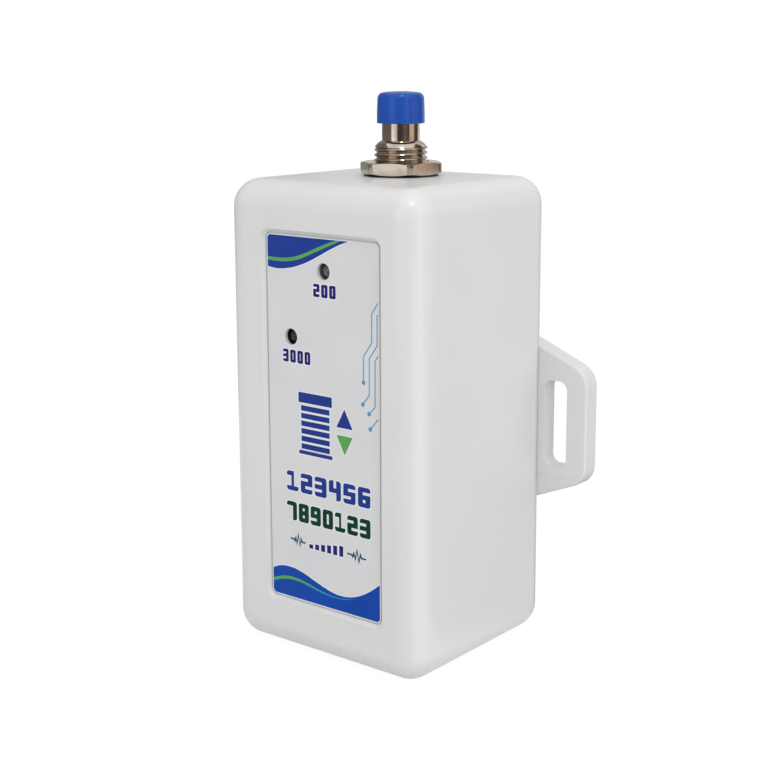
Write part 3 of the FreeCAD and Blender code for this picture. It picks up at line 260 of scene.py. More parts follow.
def mixColours(tree, factor, low, high):
    node = tree.nodes.new("ShaderNodeMix")
    node.data_type = "RGBA"
    for socket, value in ((node.inputs[0], factor), (node.inputs[6], low), (node.inputs[7], high)):
        feed(tree, socket, value)
    return node.outputs[2]


def rangeOf(tree, value, low, high, toLow=0.0, toHigh=1.0):
    node = tree.nodes.new("ShaderNodeMapRange")
    tree.links.new(value, node.inputs["Value"])
    for title, number in (("From Min", low), ("From Max", high), ("To Min", toLow), ("To Max", toHigh)):
        feed(tree, node.inputs[title], number)
    return node.outputs["Result"]


def noise(tree, coords, scale, detail, roughness=0.5):
    node = tree.nodes.new("ShaderNodeTexNoise")
    tree.links.new(coords, node.inputs["Vector"])
    feed(tree, node.inputs["Scale"], scale)
    node.inputs["Detail"].default_value = detail
    node.inputs["Roughness"].default_value = roughness
    return node.outputs["Fac"]


def mathNode(tree, operation, first, second=0.0):
    node = tree.nodes.new("ShaderNodeMath")
    node.operation = operation
    feed(tree, node.inputs[0], first)
    feed(tree, node.inputs[1], second)
    return node.outputs[0]


# Between which levels of noise a skin's marks come up, with their scales and shares.
mouldedSpans = dict(clouds=(0.35, 0.65), specks=(0.68, 0.76), streaks=(0.3, 0.75), speckScale=2600,
                    streakScale=240, dustDulls=0.6)
metalSpans = dict(patches=(0.42, 0.68), pits=(0.66, 0.74), dullness=(0.3, 0.8), pitScale=5000, pitDulls=0.3,
                  pitDepth=-0.5, markStretch=(0.15, 0.15, 1.0))


def buildMouldedSkin():
    # Cloudy tone, fine spark-eroded grain and a little dust of a moulded plastic.
    tree, given, result = newSkin("mouldedSkin", {
        "Tone": (0.8, 0.8, 0.8, 1), "Shade": (0.75, 0.75, 0.75, 1), "Dust": (0.6, 0.58, 0.55, 1),
        "Dust Amount": 0.1, "Cloud Scale": 60.0, "Grain Scale": 4000.0,
        "Low Roughness": 0.3, "High Roughness": 0.4,
    })
    coords = tree.nodes.new("ShaderNodeTexCoord").outputs["Object"]
    clouds = noise(tree, coords, given["Cloud Scale"], 4, 0.55)
    grain = noise(tree, coords, given["Grain Scale"], 2, 0.6)
    cloudShare = rangeOf(tree, clouds, *mouldedSpans["clouds"])
    tone = mixColours(tree, cloudShare, given["Shade"], given["Tone"])
    specks = rangeOf(tree, noise(tree, coords, mouldedSpans["speckScale"], 1), *mouldedSpans["specks"])
    dust = mathNode(tree, "MULTIPLY", specks, given["Dust Amount"])
    tree.links.new(mixColours(tree, dust, tone, given["Dust"]), result["Colour"])
    streaks = noise(tree, coords, mouldedSpans["streakScale"], 3, 0.6)
    dull = mathNode(tree, "ADD", streaks, mathNode(tree, "MULTIPLY", dust, mouldedSpans["dustDulls"]))
    rough = rangeOf(tree, dull, *mouldedSpans["streaks"],
                    given["Low Roughness"], given["High Roughness"])
    tree.links.new(rough, result["Roughness"])
    tree.links.new(grain, result["Height"])
    return tree


def buildMetalSkin():
    # Fine turning marks, patches of tarnish and small pits of plated metal.
    tree, given, result = newSkin("metalSkin", {
        "Tone": (0.7, 0.68, 0.65, 1), "Tarnish": (0.5, 0.42, 0.35, 1),
        "Tarnish Amount": 0.4, "Patch Scale": 300.0, "Mark Scale": 9000.0,
        "Low Roughness": 0.12, "High Roughness": 0.25,
    })
    coords = tree.nodes.new("ShaderNodeTexCoord").outputs["Object"]
    stretch = tree.nodes.new("ShaderNodeMapping")
    stretch.inputs["Scale"].default_value = metalSpans["markStretch"]
    tree.links.new(coords, stretch.inputs["Vector"])
    marks = noise(tree, stretch.outputs["Vector"], given["Mark Scale"], 2, 0.6)
    patches = noise(tree, coords, given["Patch Scale"], 4, 0.6)
    pits = rangeOf(tree, noise(tree, coords, metalSpans["pitScale"], 1), *metalSpans["pits"])
    worn = mathNode(tree, "MULTIPLY", rangeOf(tree, patches, *metalSpans["patches"]),
                    given["Tarnish Amount"])
    colour = mixColours(tree, worn, given["Tone"], given["Tarnish"])
    dull = mathNode(tree, "ADD", patches, mathNode(tree, "MULTIPLY", pits, metalSpans["pitDulls"]))
    rough = rangeOf(tree, dull, *metalSpans["dullness"],
                    given["Low Roughness"], given["High Roughness"])
    height = mathNode(tree, "ADD", marks, mathNode(tree, "MULTIPLY", pits, metalSpans["pitDepth"]))
    tree.links.new(colour, result["Colour"])
    tree.links.new(rough, result["Roughness"])
    tree.links.new(height, result["Height"])
    return tree


mouldedSkin = buildMouldedSkin()
metalSkin = buildMetalSkin()


def shaderFor(name, group, values, bump, constants):
    material = bpy.data.materials.new(name)
    material.use_nodes = True
    tree = material.node_tree
    shader = tree.nodes["Principled BSDF"]
    skin = tree.nodes.new("ShaderNodeGroup")
    skin.node_tree = group
    for title, value in values.items():
        skin.inputs[title].default_value = value
    lift = tree.nodes.new("ShaderNodeBump")
    lift.inputs["Strength"].default_value = bump[0]
    lift.inputs["Distance"].default_value = bump[1] * mm
    tree.links.new(skin.outputs["Colour"], shader.inputs["Base Color"])
    tree.links.new(skin.outputs["Roughness"], shader.inputs["Roughness"])
    tree.links.new(skin.outputs["Height"], lift.inputs["Height"])
    tree.links.new(lift.outputs["Normal"], shader.inputs["Normal"])
    for title, value in constants.items():
        shader.inputs[title].default_value = value
    return material


def rgb(red, green, blue):
    # A colour as a paint program shows it, made linear.
    def line(level):
        part = level / 255
        return part / 12.92 if part <= 0.04045 else ((part + 0.055) / 1.055) ** 2.4
    return (line(red), line(green), line(blue), 1)


def plastic(tone, shade, dust, **own):
    # The usual look, apart from what a plastic names itself.
    look = dict(tone=rgb(*tone), shade=rgb(*shade), dust=rgb(*dust), dusty=0.1, cloud=400, grain=5000,
                rough=(0.35, 0.45), bump=(0.05, 0.02), coat=0.0, gloss=0.5)
    look.update(own)
    return look


def metal(tone, tarnish, **own):
    look = dict(amount=0.4, mark=9000, bump=(0.06, 0.01), tone=rgb(*tone), tarnish=rgb(*tarnish))
    look.update(own)
    return look


plastics = {
    "housing_plastic": plastic((226, 226, 225), (224, 224, 224), (205, 204, 202),
                               dusty=0.0, cloud=60, grain=3500, rough=(0.29, 0.35)),
    "label_film": plastic((222, 222, 224), (218, 218, 220), (180, 180, 184),
                          dusty=0.12, cloud=110, grain=5200, rough=(0.36, 0.46), gloss=0.4),
    "switch_plastic": plastic((38, 38, 40), (30, 30, 32), (90, 88, 84),
                              dusty=0.2, cloud=200, rough=(0.4, 0.55), bump=(0.1, 0.02), gloss=0.4),
    "button_blue": plastic((20, 79, 175), (18, 74, 166), (90, 120, 180),
                           dusty=0.03, cloud=260, grain=5200, rough=(0.3, 0.38),
                           bump=(0.04, 0.02), coat=0.25, gloss=0.18),
    "stem_plastic": plastic((225, 222, 212), (215, 212, 202), (150, 146, 138), cloud=300, grain=5200),
    "board_laminate": plastic((30, 104, 62), (24, 90, 54), (120, 150, 120),
                              dusty=0.2, cloud=180, grain=2600, rough=(0.3, 0.42),
                              bump=(0.12, 0.03), coat=0.3),
    "key_plastic": plastic((44, 36, 32), (34, 28, 25), (100, 96, 90),
                           cloud=300, grain=4200, rough=(0.12, 0.22), bump=(0.04, 0.02), coat=0.2),
    "chip_plastic": plastic((40, 40, 42), (30, 30, 32), (96, 94, 90),
                            dusty=0.3, cloud=500, grain=8000, rough=(0.5, 0.65),
                            bump=(0.15, 0.02), gloss=0.4),
    "capacitor_sleeve": plastic((28, 30, 44), (22, 24, 36), (90, 90, 96), rough=(0.25, 0.35), coat=0.2),
    "chip_ceramic": plastic((176, 150, 118), (150, 124, 96), (200, 190, 176),
                            dusty=0.2, cloud=900, grain=9000, rough=(0.35, 0.5), bump=(0.1, 0.01)),
    "battery_casing": plastic((52, 54, 60), (44, 46, 52), (120, 120, 120),
                              dusty=0.15, cloud=120, grain=4200, rough=(0.28, 0.4), coat=0.1),
    "snap_plastic": plastic((34, 33, 32), (26, 26, 25), (90, 88, 84),
                            dusty=0.2, cloud=260, grain=3000, rough=(0.5, 0.65),
                            bump=(0.12, 0.03), gloss=0.4),
    "wire_red": plastic((186, 30, 28), (166, 24, 24), (190, 120, 110), bump=(0.05, 0.01)),
    "wire_black": plastic((30, 30, 30), (24, 24, 24), (90, 90, 90), bump=(0.05, 0.01)),
    "led_lens": plastic((108, 108, 110), (84, 84, 86), (150, 150, 150),
                        dusty=0.05, cloud=500, grain=4000, rough=(0.05, 0.1), bump=(0.02, 0.01),
                        coat=1.0),
}
metals = {
    "nickel_plate": metal((205, 195, 183), (160, 135, 112),
                          amount=0.45, patch=260, rough=(0.10, 0.2), bump=(0.04, 0.01)),
    "contact_brass": metal((214, 178, 96), (150, 110, 60), amount=0.5, patch=600, rough=(0.2, 0.35)),
    "tinned_metal": metal((205, 206, 208), (150, 150, 150), patch=700, mark=8000, rough=(0.25, 0.4)),
    "spring_steel": metal((178, 180, 184), (120, 116, 112), patch=500, rough=(0.2, 0.3), bump=(0.05, 0.01)),
    "screw_steel": metal((196, 197, 200), (140, 138, 134), patch=420, rough=(0.2, 0.32)),
    "antenna_copper": metal((208, 124, 76), (140, 74, 44), amount=0.5, patch=400, rough=(0.22, 0.35)),
}
inks = {
    "blueInk": (rgb(32, 64, 152), rgb(28, 60, 146)),
    "royalInk": (rgb(20, 74, 172), rgb(18, 70, 164)),
    "navyInk": (rgb(40, 38, 118), rgb(34, 32, 108)),
    "logoInk": (rgb(34, 60, 144), rgb(30, 56, 136)),
    "pineInk": (rgb(2, 66, 48), rgb(0, 58, 42)),
    "leafInk": (rgb(95, 170, 90), rgb(89, 162, 84)),
    "skyInk": (rgb(96, 160, 196), rgb(86, 150, 188)),
    "tealInk": (rgb(20, 84, 116), rgb(14, 74, 104)),
    "whiteInk": (rgb(238, 238, 242), rgb(232, 232, 237)),
}
finishes = {}
for slotName, look in plastics.items():
    finishes[slotName] = shaderFor(slotName, mouldedSkin, {
        "Tone": look["tone"], "Shade": look["shade"], "Dust": look["dust"],
        "Dust Amount": look["dusty"], "Cloud Scale": look["cloud"], "Grain Scale": look["grain"],
        "Low Roughness": look["rough"][0], "High Roughness": look["rough"][1],
    }, look["bump"], {
        "Coat Weight": look["coat"], "Coat Roughness": 0.05, "Specular IOR Level": look["gloss"],
    })
for slotName, look in metals.items():
    finishes[slotName] = shaderFor(slotName, metalSkin, {
        "Tone": look["tone"], "Tarnish": look["tarnish"], "Tarnish Amount": look["amount"],
        "Patch Scale": look["patch"], "Mark Scale": look["mark"],
        "Low Roughness": look["rough"][0], "High Roughness": look["rough"][1],
    }, look["bump"], {"Metallic": 1.0})


def flatInk(name, tone, shade):
    # Printed ink, with little gloss.
    return shaderFor(name, mouldedSkin, {
        "Tone": tone, "Shade": shade, "Dust Amount": 0.0, "Cloud Scale": 160, "Grain Scale": 6000,
        "Low Roughness": 0.34, "High Roughness": 0.44,
    }, (0.03, 0.01), {"Specular IOR Level": 0.12})


def fadingInk(name, nearSide, farSide, low, high):
    # An ink that runs from one colour to another across the label, low and high in mm.
    material = flatInk(name, *inks[nearSide])
    tree = material.node_tree
    shader = tree.nodes["Principled BSDF"]
    plain = shader.inputs["Base Color"].links[0].from_socket
    place = tree.nodes.new("ShaderNodeSeparateXYZ")
    tree.links.new(tree.nodes.new("ShaderNodeTexCoord").outputs["Object"], place.inputs[0])
    share = rangeOf(tree, place.outputs["X"], low * mm, high * mm)
    tree.links.new(mixColours(tree, share, plain, farSide), shader.inputs["Base Color"])
    return material


for inkName, (tone, shade) in inks.items():
    finishes[inkName] = flatInk(inkName, tone, shade)
finishes["leafToSkyInk"] = fadingInk("leafToSkyInk", "leafInk", rgb(40, 140, 190), -5.5, 1.5)
slotOfNode = {entry["node"]: entry["material_slot"] for entry in frame["record"]["subparts"]}
print("materials made:", len(finishes))


# In mm: the box, its seam, the parting groove behind the seam and the raised line across each lug.
box = dict(width=45.0, height=88.0, corner=5.2, seamY=15.25, seamBreak=0.2, seamLeft=0.06,
           seamNear=0.01, breakNear=0.05, cornerSteps=16, cutterPast=1.0,
           grooveFront=16.9, grooveBack=17.13, grooveDepth=0.75,
           creaseZ=31.675, creaseFrom=22.2, creaseTo=31.2, creaseBead=0.13, creaseRound=0.078,
           creaseSink=0.05)


def depthInOutline(x, z):
    # How far a point lies inside the box's rounded outline, in mm.
    overX = abs(x) - (box["width"] / 2 - box["corner"])
    overZ = abs(z - box["height"] / 2) - (box["height"] / 2 - box["corner"])
    if overX > 0 and overZ > 0:
        return box["corner"] - math.hypot(overX, overZ)
    return min(box["corner"] - overX, box["corner"] - overZ)


def closeSeam(piece):
    # The broken edges at the seam come out nearly flush, so the seam is a hairline.
    def broken(corner):
        atSeam = abs(corner.y / mm - box["seamY"]) < box["seamNear"]
        depth = depthInOutline(corner.x / mm, corner.z / mm)
        return atSeam and abs(depth - box["seamBreak"]) < box["breakNear"]

    selectEdges(piece, lambda first, last: broken(first) and broken(last))
    gain = box["seamBreak"] - box["seamLeft"]
    wider = [1 + gain / (side / 2 - box["seamBreak"]) for side in (box["width"], box["height"])]
    bpy.ops.transform.resize(value=(wider[0], 1, wider[1]), center_override=(0, 0, box["height"] / 2 * mm))
    setMode("OBJECT")


def outlinePlate(name, inset, front, back):
    # A plate with the box's rounded outline, drawn in by inset, between two depths.
    half = box["width"] / 2 - inset
    plate = block(name, (-half, front, inset), (half, back, box["height"] - inset))
    roundEdges(plate, lambda first, last: abs(first.x - last.x) < hair and abs(first.z - last.z) < hair,
               box["corner"] - inset, box["cornerSteps"])
    return plate


def makeCover():
    # The node's shape with the parting groove that runs round the back, in front of the lugs.
    cover = copyOfNode("back_cover", "box_back")
    closeSeam(cover)
    front, back, past = box["grooveFront"], box["grooveBack"], box["cutterPast"]
    groove = outlinePlate("groove", -past, front, back)
    cutWith(groove, outlinePlate("groove_core", box["grooveDepth"], front - past, back + past))
    cutWith(cover, groove)
    mergeDoubles(cover)
    return smooth(cover)


def makeCreaseBead(name, side):
    # The fine raised line across the foot of a lug.
    length = box["creaseTo"] - box["creaseFrom"]
    pick()
    middle = side * (box["creaseFrom"] + box["creaseTo"]) / 2
    place = Vector((middle, box["grooveBack"] + box["creaseSink"], box["creaseZ"])) * mm
    bpy.ops.mesh.primitive_cylinder_add(vertices=12, radius=box["creaseBead"] * mm, depth=length * mm,
                                        location=place, rotation=(0, math.pi / 2, 0))
    bead = bpy.context.object
    bead.name = name
    settle(bead)
    roundEdges(bead, lambda first, last: abs(first.x - last.x) < hair, box["creaseRound"], 2)
    return smooth(bead, 40)


housing = copyOfNode("front_housing", "box_front")
closeSeam(housing)
hand(smooth(housing), "housing", "housing_plastic", "front_housing")
hand(makeCover(), "housing", "housing_plastic", "back_cover")
for name, side in (("lug_line_right", 1), ("lug_line_left", -1)):
    hand(makeCreaseBead(name, side), "housing", "housing_plastic")
hand(smooth(copyOfNode("label_plate", "label_sheet")), "housing", "label_film", "label_plate")
print("housing dressed")


# In mm, on the button's axis; the shoulder's points go out from the neck and down from the cone's top.
button = dict(
    y=3.7, panelZ=88.0, travel=1.8, steps=128,
    threadRadius=4.98, threadDepth=0.5, pitch=0.94, threadTop=93.2, threadPoints=12, threadSteps=96,
    threadGap=0.01, threadEnd=0.02, runout=((0.25, 0.0), (0.12, 0.07)),
    flangeRadius=6.5, flangeTop=85.1, flangeBase=83.9, flangeEdge=0.15,
    chamberRadius=3.6, chamberTop=92.0, stemBore=1.6,
    shoulder=((1.12, 0.83), (0.82, 0.5), (0.48, 0.22), (0.16, 0.05), (0.0, 0.0)), coneTop=94.45,
    neckRadius=3.5, neckTop=98.6, neckEdge=0.2,
    nutFlats=14.0, nutHeight=2.6, nutTurn=52.0, nutSlope=18.0, nutCornerRound=0.95, nutEdge=0.1,
    nutFootRadius=6.2, nutFoot=0.3, nutMouth=0.45, nutMouthDepth=0.35, nutBoreGap=0.02,
    nutConeInset=0.1, nutConeReach=0.5, cutterPast=1,
    # The shade ring is a dark ring of painted shade under the nut.
    shadeRingRadius=6.95, shadeRingHeight=0.26, shadeRingEdge=0.05, shadeRingTuck=0.05,
    capRadius=4.435, capBase=97.6, capTop=103.45, capWall=0.75, capCeiling=3.0, capRim=0.18, capEdge=1.15,
    capTaper=0.12, capMouth=(0.1, 0.05), capSides=((0.01, 1.5), (0.06, 3.2)),
    capCrown=0.22, capCrownPoints=((2.4, 0.45), (1.2, 0.12), (0, 0)))


def makeThread():
    # One pitch of profile, carried up the axis by a screw modifier and trimmed flat at both ends.
    outer = button["threadRadius"]
    inner = outer - button["threadDepth"]
    pitch = button["pitch"]
    middle = (outer + inner) / 2
    count = button["threadPoints"]
    profile = [(middle - (outer - middle) * math.cos(2 * math.pi * step / count), pitch * step / count)
               for step in range(count + 1)]
    thread = drawProfile("button_thread", profile, False)
    setMode("OBJECT")
    turns = math.ceil((button["threadTop"] - button["flangeTop"]) / pitch) + 2
    screw = thread.modifiers.new("screw", "SCREW")
    screw.axis = "Z"
    screw.angle = 2 * math.pi
    screw.screw_offset = pitch * mm
    screw.iterations = turns
    screw.steps = button["threadSteps"]
    screw.render_steps = button["threadSteps"]
    screw.use_merge_vertices = True
    screw.merge_threshold = 0.001 * mm
    applyAll(thread)
    thread.location = (0, button["y"] * mm, (button["flangeTop"] - pitch) * mm)
    settle(thread)
    for level, clearUpper in ((button["flangeTop"], False), (button["threadTop"], True)):
        editWhole(thread, bpy.ops.mesh.bisect, plane_co=(0, 0, level * mm), plane_no=(0, 0, 1),
                  use_fill=True, clear_inner=not clearUpper, clear_outer=clearUpper)
    mergeDoubles(thread, 0.001)
    faceOutwards(thread)
    return thread


def makeBushing():
    # The threaded core with its flange below and its shoulder and neck above.
    outer, threadTop = button["threadRadius"], button["threadTop"] - button["threadEnd"]
    core = outer - button["threadDepth"] - button["threadGap"]
    rim, low, high, edge = (button[key] for key in ("flangeRadius", "flangeBase", "flangeTop", "flangeEdge"))
    profile = [(button["stemBore"], button["chamberTop"]), (button["chamberRadius"], button["chamberTop"]),
               (button["chamberRadius"], low)]
    profile += [(rim - edge, low), (rim, low + edge), (rim, high - edge), (rim - edge, high)]
    profile += [(core, high), (core, threadTop)]
    profile += [(outer - inwards, threadTop + up) for inwards, up in button["runout"]]
    for out, down in button["shoulder"]:
        profile.append((button["neckRadius"] + out, button["coneTop"] - down))
    neck, top, edge = (button[key] for key in ("neckRadius", "neckTop", "neckEdge"))
    profile += [(neck, top - edge), (neck - edge, top), (button["stemBore"], top)]
    bushing = turned("button_bushing", profile, (0, button["y"], 0), closed=True)
    thread = makeThread()
    pick(bushing, thread)
    bpy.ops.object.join()
    return smooth(bushing, 35)


def makeNut():
    # A hexagon with rounded upright edges, its corners turned off above and below, on a narrow foot.
    pick()
    corner = button["nutFlats"] / 2 / math.cos(math.pi / 6)
    middle = button["panelZ"] + button["nutHeight"] / 2
    bpy.ops.mesh.primitive_cylinder_add(vertices=6, radius=corner * mm, depth=button["nutHeight"] * mm,
                                        location=(0, button["y"] * mm, middle * mm),
                                        rotation=(0, 0, math.radians(button["nutTurn"])))
    nut = bpy.context.object
    nut.name = "button_nut"
    settle(nut)
    roundEdges(nut, lambda first, last: abs(first.z - last.z) > mm, button["nutCornerRound"], 4)
    flat, inset = button["nutFlats"] / 2, button["nutConeInset"]
    reach = corner + button["nutConeReach"]
    drop = (reach - flat + inset) * math.tan(math.radians(button["nutSlope"]))
    low, high = button["panelZ"], button["panelZ"] + button["nutHeight"]
    foot, footRadius = low + button["nutFoot"], button["nutFootRadius"]
    cone = turned("nut_cone", [
        (0, low), (footRadius, low), (footRadius, foot), (flat - inset, foot),
        (reach, foot + drop), (reach, high - drop), (flat - inset, high), (0, high),
    ], (0, button["y"], 0), steps=button["steps"])
    cutWith(nut, cone, "INTERSECT")
    bore = button["threadRadius"] + button["nutBoreGap"]
    mouth, depth, past = bore + button["nutMouth"], button["nutMouthDepth"], button["cutterPast"]
    hole = turned("nut_bore", [
        (0, low - past), (mouth, low - past), (mouth, low), (bore, low + depth),
        (bore, high - depth), (mouth, high), (mouth, high + past), (0, high + past),
    ], (0, button["y"], 0), steps=button["steps"])
    cutWith(nut, hole)
    mergeDoubles(nut, 0.002)
    softEdges(nut, button["nutEdge"], 3, 25)
    return smooth(nut, 35)


def makeShadeRing():
    # A thin dark ring on the panel round the nut's foot: painted shade for the shadow in the gap under the
    # nut.
    low, high = button["panelZ"], button["panelZ"] + button["shadeRingHeight"]
    inner, outer = button["nutFootRadius"] - button["shadeRingTuck"], button["shadeRingRadius"]
    edge = button["shadeRingEdge"]
    shadeRing = turned("nut_shade_ring", [
        (inner, low), (outer - edge * 0.6, low), (outer, low + edge), (outer, high - edge),
        (outer - edge, high), (inner, high),
    ], (0, button["y"], 0), steps=button["steps"], closed=True)
    return smooth(shadeRing, 40)


def makeCap():
    # A thin cup with a rounded rim, a slight taper and a crowned top.
    radius, base, top, edge = (button[key] for key in ("capRadius", "capBase", "capTop", "capEdge"))
    rim, taper, crown = button["capRim"], button["capTaper"], button["capCrown"]
    inside, ceiling = radius - button["capWall"], base + button["capCeiling"]
    out, up = button["capMouth"]
    profile = [(inside, base + up), (inside + out, base)]
    profile += bow(radius - rim, base + rim, rim, -90, 0, 4)
    profile += [(radius - inwards, base + up) for inwards, up in button["capSides"]]
    profile += bow(radius - taper - edge, top - crown - edge, edge, 0, 82, 12)
    profile += [(out, top - crown * share) for out, share in button["capCrownPoints"]]
    profile += [(0, ceiling), (inside, ceiling)]
    return smooth(turned("button_cap", profile, (0, button["y"], 0)), 40)


def makeSpring():
    # The node's return spring, smoothed and given a mesh of its own; the real spring shortens by the cap's
    # travel.
    spring = smooth(copyOfNode("push_button_spring", "return_spring"), 60)
    hand(spring, "housing", "spring_steel", "push_button_spring")
    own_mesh(spring)


hand(makeBushing(), "housing", "nickel_plate", "push_button_bushing")
hand(makeNut(), "housing", "nickel_plate", "push_button_nut")
# The dark ring under the nut is painted shade for the shadow in its gap.
hand(makeShadeRing(), "housing", "switch_plastic")
hand(makeCap(), "push_button", "button_blue", "push_button_cap")
makeSpring()
print("push button modelled")


# The windows' dark sleeves of painted shade with their places, and the crosses of the cover's screws.
window = dict(places=(("lamp_shade_sleeve", 1.4, 72.7, "led_lens"), ("key_shade_sleeve", -6.5, 60.2, "switch_plastic")),
              outer=1.495, inner=1.458, mouth=19.42, foot=18.5,
              outerBreak=0.015, innerBreak=0.01, breakDepth=0.02)
screwHead = dict(x=14.2, levels=(8.4, 79.6), cross=2.7, slot=0.55, depth=0.9, cutterPast=0.5)


def makeShadeSleeve(name, x, z):
    # A dark sleeve that lines a window behind the label: painted shade for the shadow deep in the hole.
    inner, outer, foot, mouth = (window[key] for key in ("inner", "outer", "foot", "mouth"))
    shoulder = mouth - window["breakDepth"]
    profile = [(inner, foot), (outer, foot), (outer, shoulder), (outer - window["outerBreak"], mouth),
               (inner + window["innerBreak"], mouth), (inner, shoulder)]
    shadeSleeve = turned(name, profile, (x, 0, z), steps=64, closed=True, lying=True)
    return smooth(shadeSleeve, 40)


def makeScrews():
    # The node's four screws with a cross recess cut into each head.
    screws = copyOfNode("cover_screws", "cover_screw_set")
    face = max(vertex.co.y for vertex in screws.data.vertices) / mm
    for wide, tall in ((screwHead["cross"], screwHead["slot"]), (screwHead["slot"], screwHead["cross"])):
        for x in (-screwHead["x"], screwHead["x"]):
            for z in screwHead["levels"]:
                cutWith(screws, block("cross_bar", (x - wide / 2, face - screwHead["depth"], z - tall / 2),
                                      (x + wide / 2, face + screwHead["cutterPast"], z + tall / 2)))
    return smooth(screws, 40)


lamp = smooth(copyOfNode("indicator_led", "lamp_lens"), 60)
hand(lamp, "housing", "led_lens", "indicator_led")
key = smooth(copyOfNode("setup_key_plunger", "key_cap"), 60)
hand(key, "setup_key", "key_plastic", "setup_key_plunger")
# Each window gets a dark sleeve, painted shade for the shadow inside the hole.
for name, x, z, slotName in window["places"]:
    hand(makeShadeSleeve(name, x, z), "housing", slotName)
hand(makeScrews(), "housing", "screw_steel", "cover_screws")
print("lamp, key and screws dressed")


label = dict(faceY=-20.05, inkLift=0.012, lineLift=0.016, haloLift=0.006, halo=0.17, haloShare=0.45,
             inkThick=0.002, figureThick=0.003, figureRound=0.6, cornerNear=0.01, leastMitre=0.35,
             cornerCut=0.5,
             left=-11.9, right=13.92, low=10.74, high=78.44)
inkPieces = {}


def layInk(piece, ink, lift):
    # Turned upright onto the label's face and kept for joining.
    piece.location.y = (label["faceY"] - lift) * mm
    piece.rotation_euler = (math.pi / 2, 0, 0)
    pick(piece)
    bpy.ops.object.convert(target="MESH")
    piece = bpy.context.object
    settle(piece)
    mergeDoubles(piece)
    inkPieces.setdefault(ink, []).append(piece)


def inkShape(points, ink, corners=(), lift=label["inkLift"], offset=0.0):
    # A flat closed outline in label millimetres; listed corners are sharp, the rest run smooth.
    curve = bpy.data.curves.new(ink + "_outline", "CURVE")
    curve.dimensions = "2D"
    curve.fill_mode = "BOTH"
    curve.resolution_u = 10
    curve.extrude = label["inkThick"] * mm
    curve.offset = offset * mm
    spline = curve.splines.new("BEZIER")
    spline.bezier_points.add(len(points) - 1)
    for index, (point, (x, z)) in enumerate(zip(spline.bezier_points, points)):
        point.co = (x * mm, z * mm, 0)
        sharp = corners == "all" or index in corners
        point.handle_left_type = point.handle_right_type = "VECTOR" if sharp else "AUTO"
    spline.use_cyclic_u = True
    layInk(newObject(ink + "_part", curve), ink, lift)


def stroke(points, width):
    # The outline of a line of even width through the points, with mitred bends.
    sides = ([], [])
    for index, here in enumerate(points):
        here = Vector(here)
        before = Vector(points[max(index - 1, 0)])
        after = Vector(points[min(index + 1, len(points) - 1)])
        first = (here - before).normalized() if index else (after - here).normalized()
        second = (after - here).normalized() if index < len(points) - 1 else first
        across = Vector((-(first + second).y, (first + second).x)).normalized()
        reach = width / 2 / max(across.dot(Vector((-first.y, first.x))), label["leastMitre"])
        sides[0].append(tuple(here + across * reach))
        sides[1].append(tuple(here - across * reach))
    return sides[0] + sides[1][::-1]


def band(middle, tip=()):
    # The outline of a line of changing width: x, z and half width at each point, and the points of its tip.
    above = [(x, z + half) for x, z, half in middle]
    below = [(x, z - half) for x, z, half in middle]
    return above + list(tip) + below[::-1]


def haloed(points, ink, corners="all"):
    # A mark with the thin white line that surrounds it.
    inkShape(points, ink, corners)
    inkShape(points, "whiteInk", corners, lift=label["haloLift"], offset=label["halo"])


def dot(x, z, radius, ink):
    inkShape([(x + radius * math.cos(turn), z + radius * math.sin(turn))
              for turn in (0, math.pi / 2, math.pi, 1.5 * math.pi)], ink)


# Block figures: five rows of three cells from the top, x where the cell is printed.
cellsOf = {
    "0": ("xxx", "x.x", "x.x", "x.x", "xxx"), "1": ("xx.", ".x.", ".x.", ".x.", "xxx"),
    "2": ("xxx", "..x", "xxx", "x..", "xxx"), "3": ("xxx", "..x", "xxx", "..x", "xxx"),
    "4": ("x.x", "x.x", "xxx", "..x", "..x"), "5": ("xxx", "x..", "xxx", "..x", "xxx"),
    "6": ("xxx", "x..", "xxx", "x.x", "xxx"), "7": ("xxx", "..x", "..x", "..x", "..x"),
    "8": ("xxx", "x.x", "xxx", "x.x", "xxx"), "9": ("xxx", "x.x", "xxx", "..x", "xxx"),
}


def cutLines(start, end, weight, count, grow):
    # Where the strokes of a figure begin and end between start and end, count strokes in all.
    pitch = (end - start - weight) / (count - 1)
    lines = []
    for index in range(count):
        lines += [start + index * pitch - grow, start + index * pitch + weight + grow]
    return lines


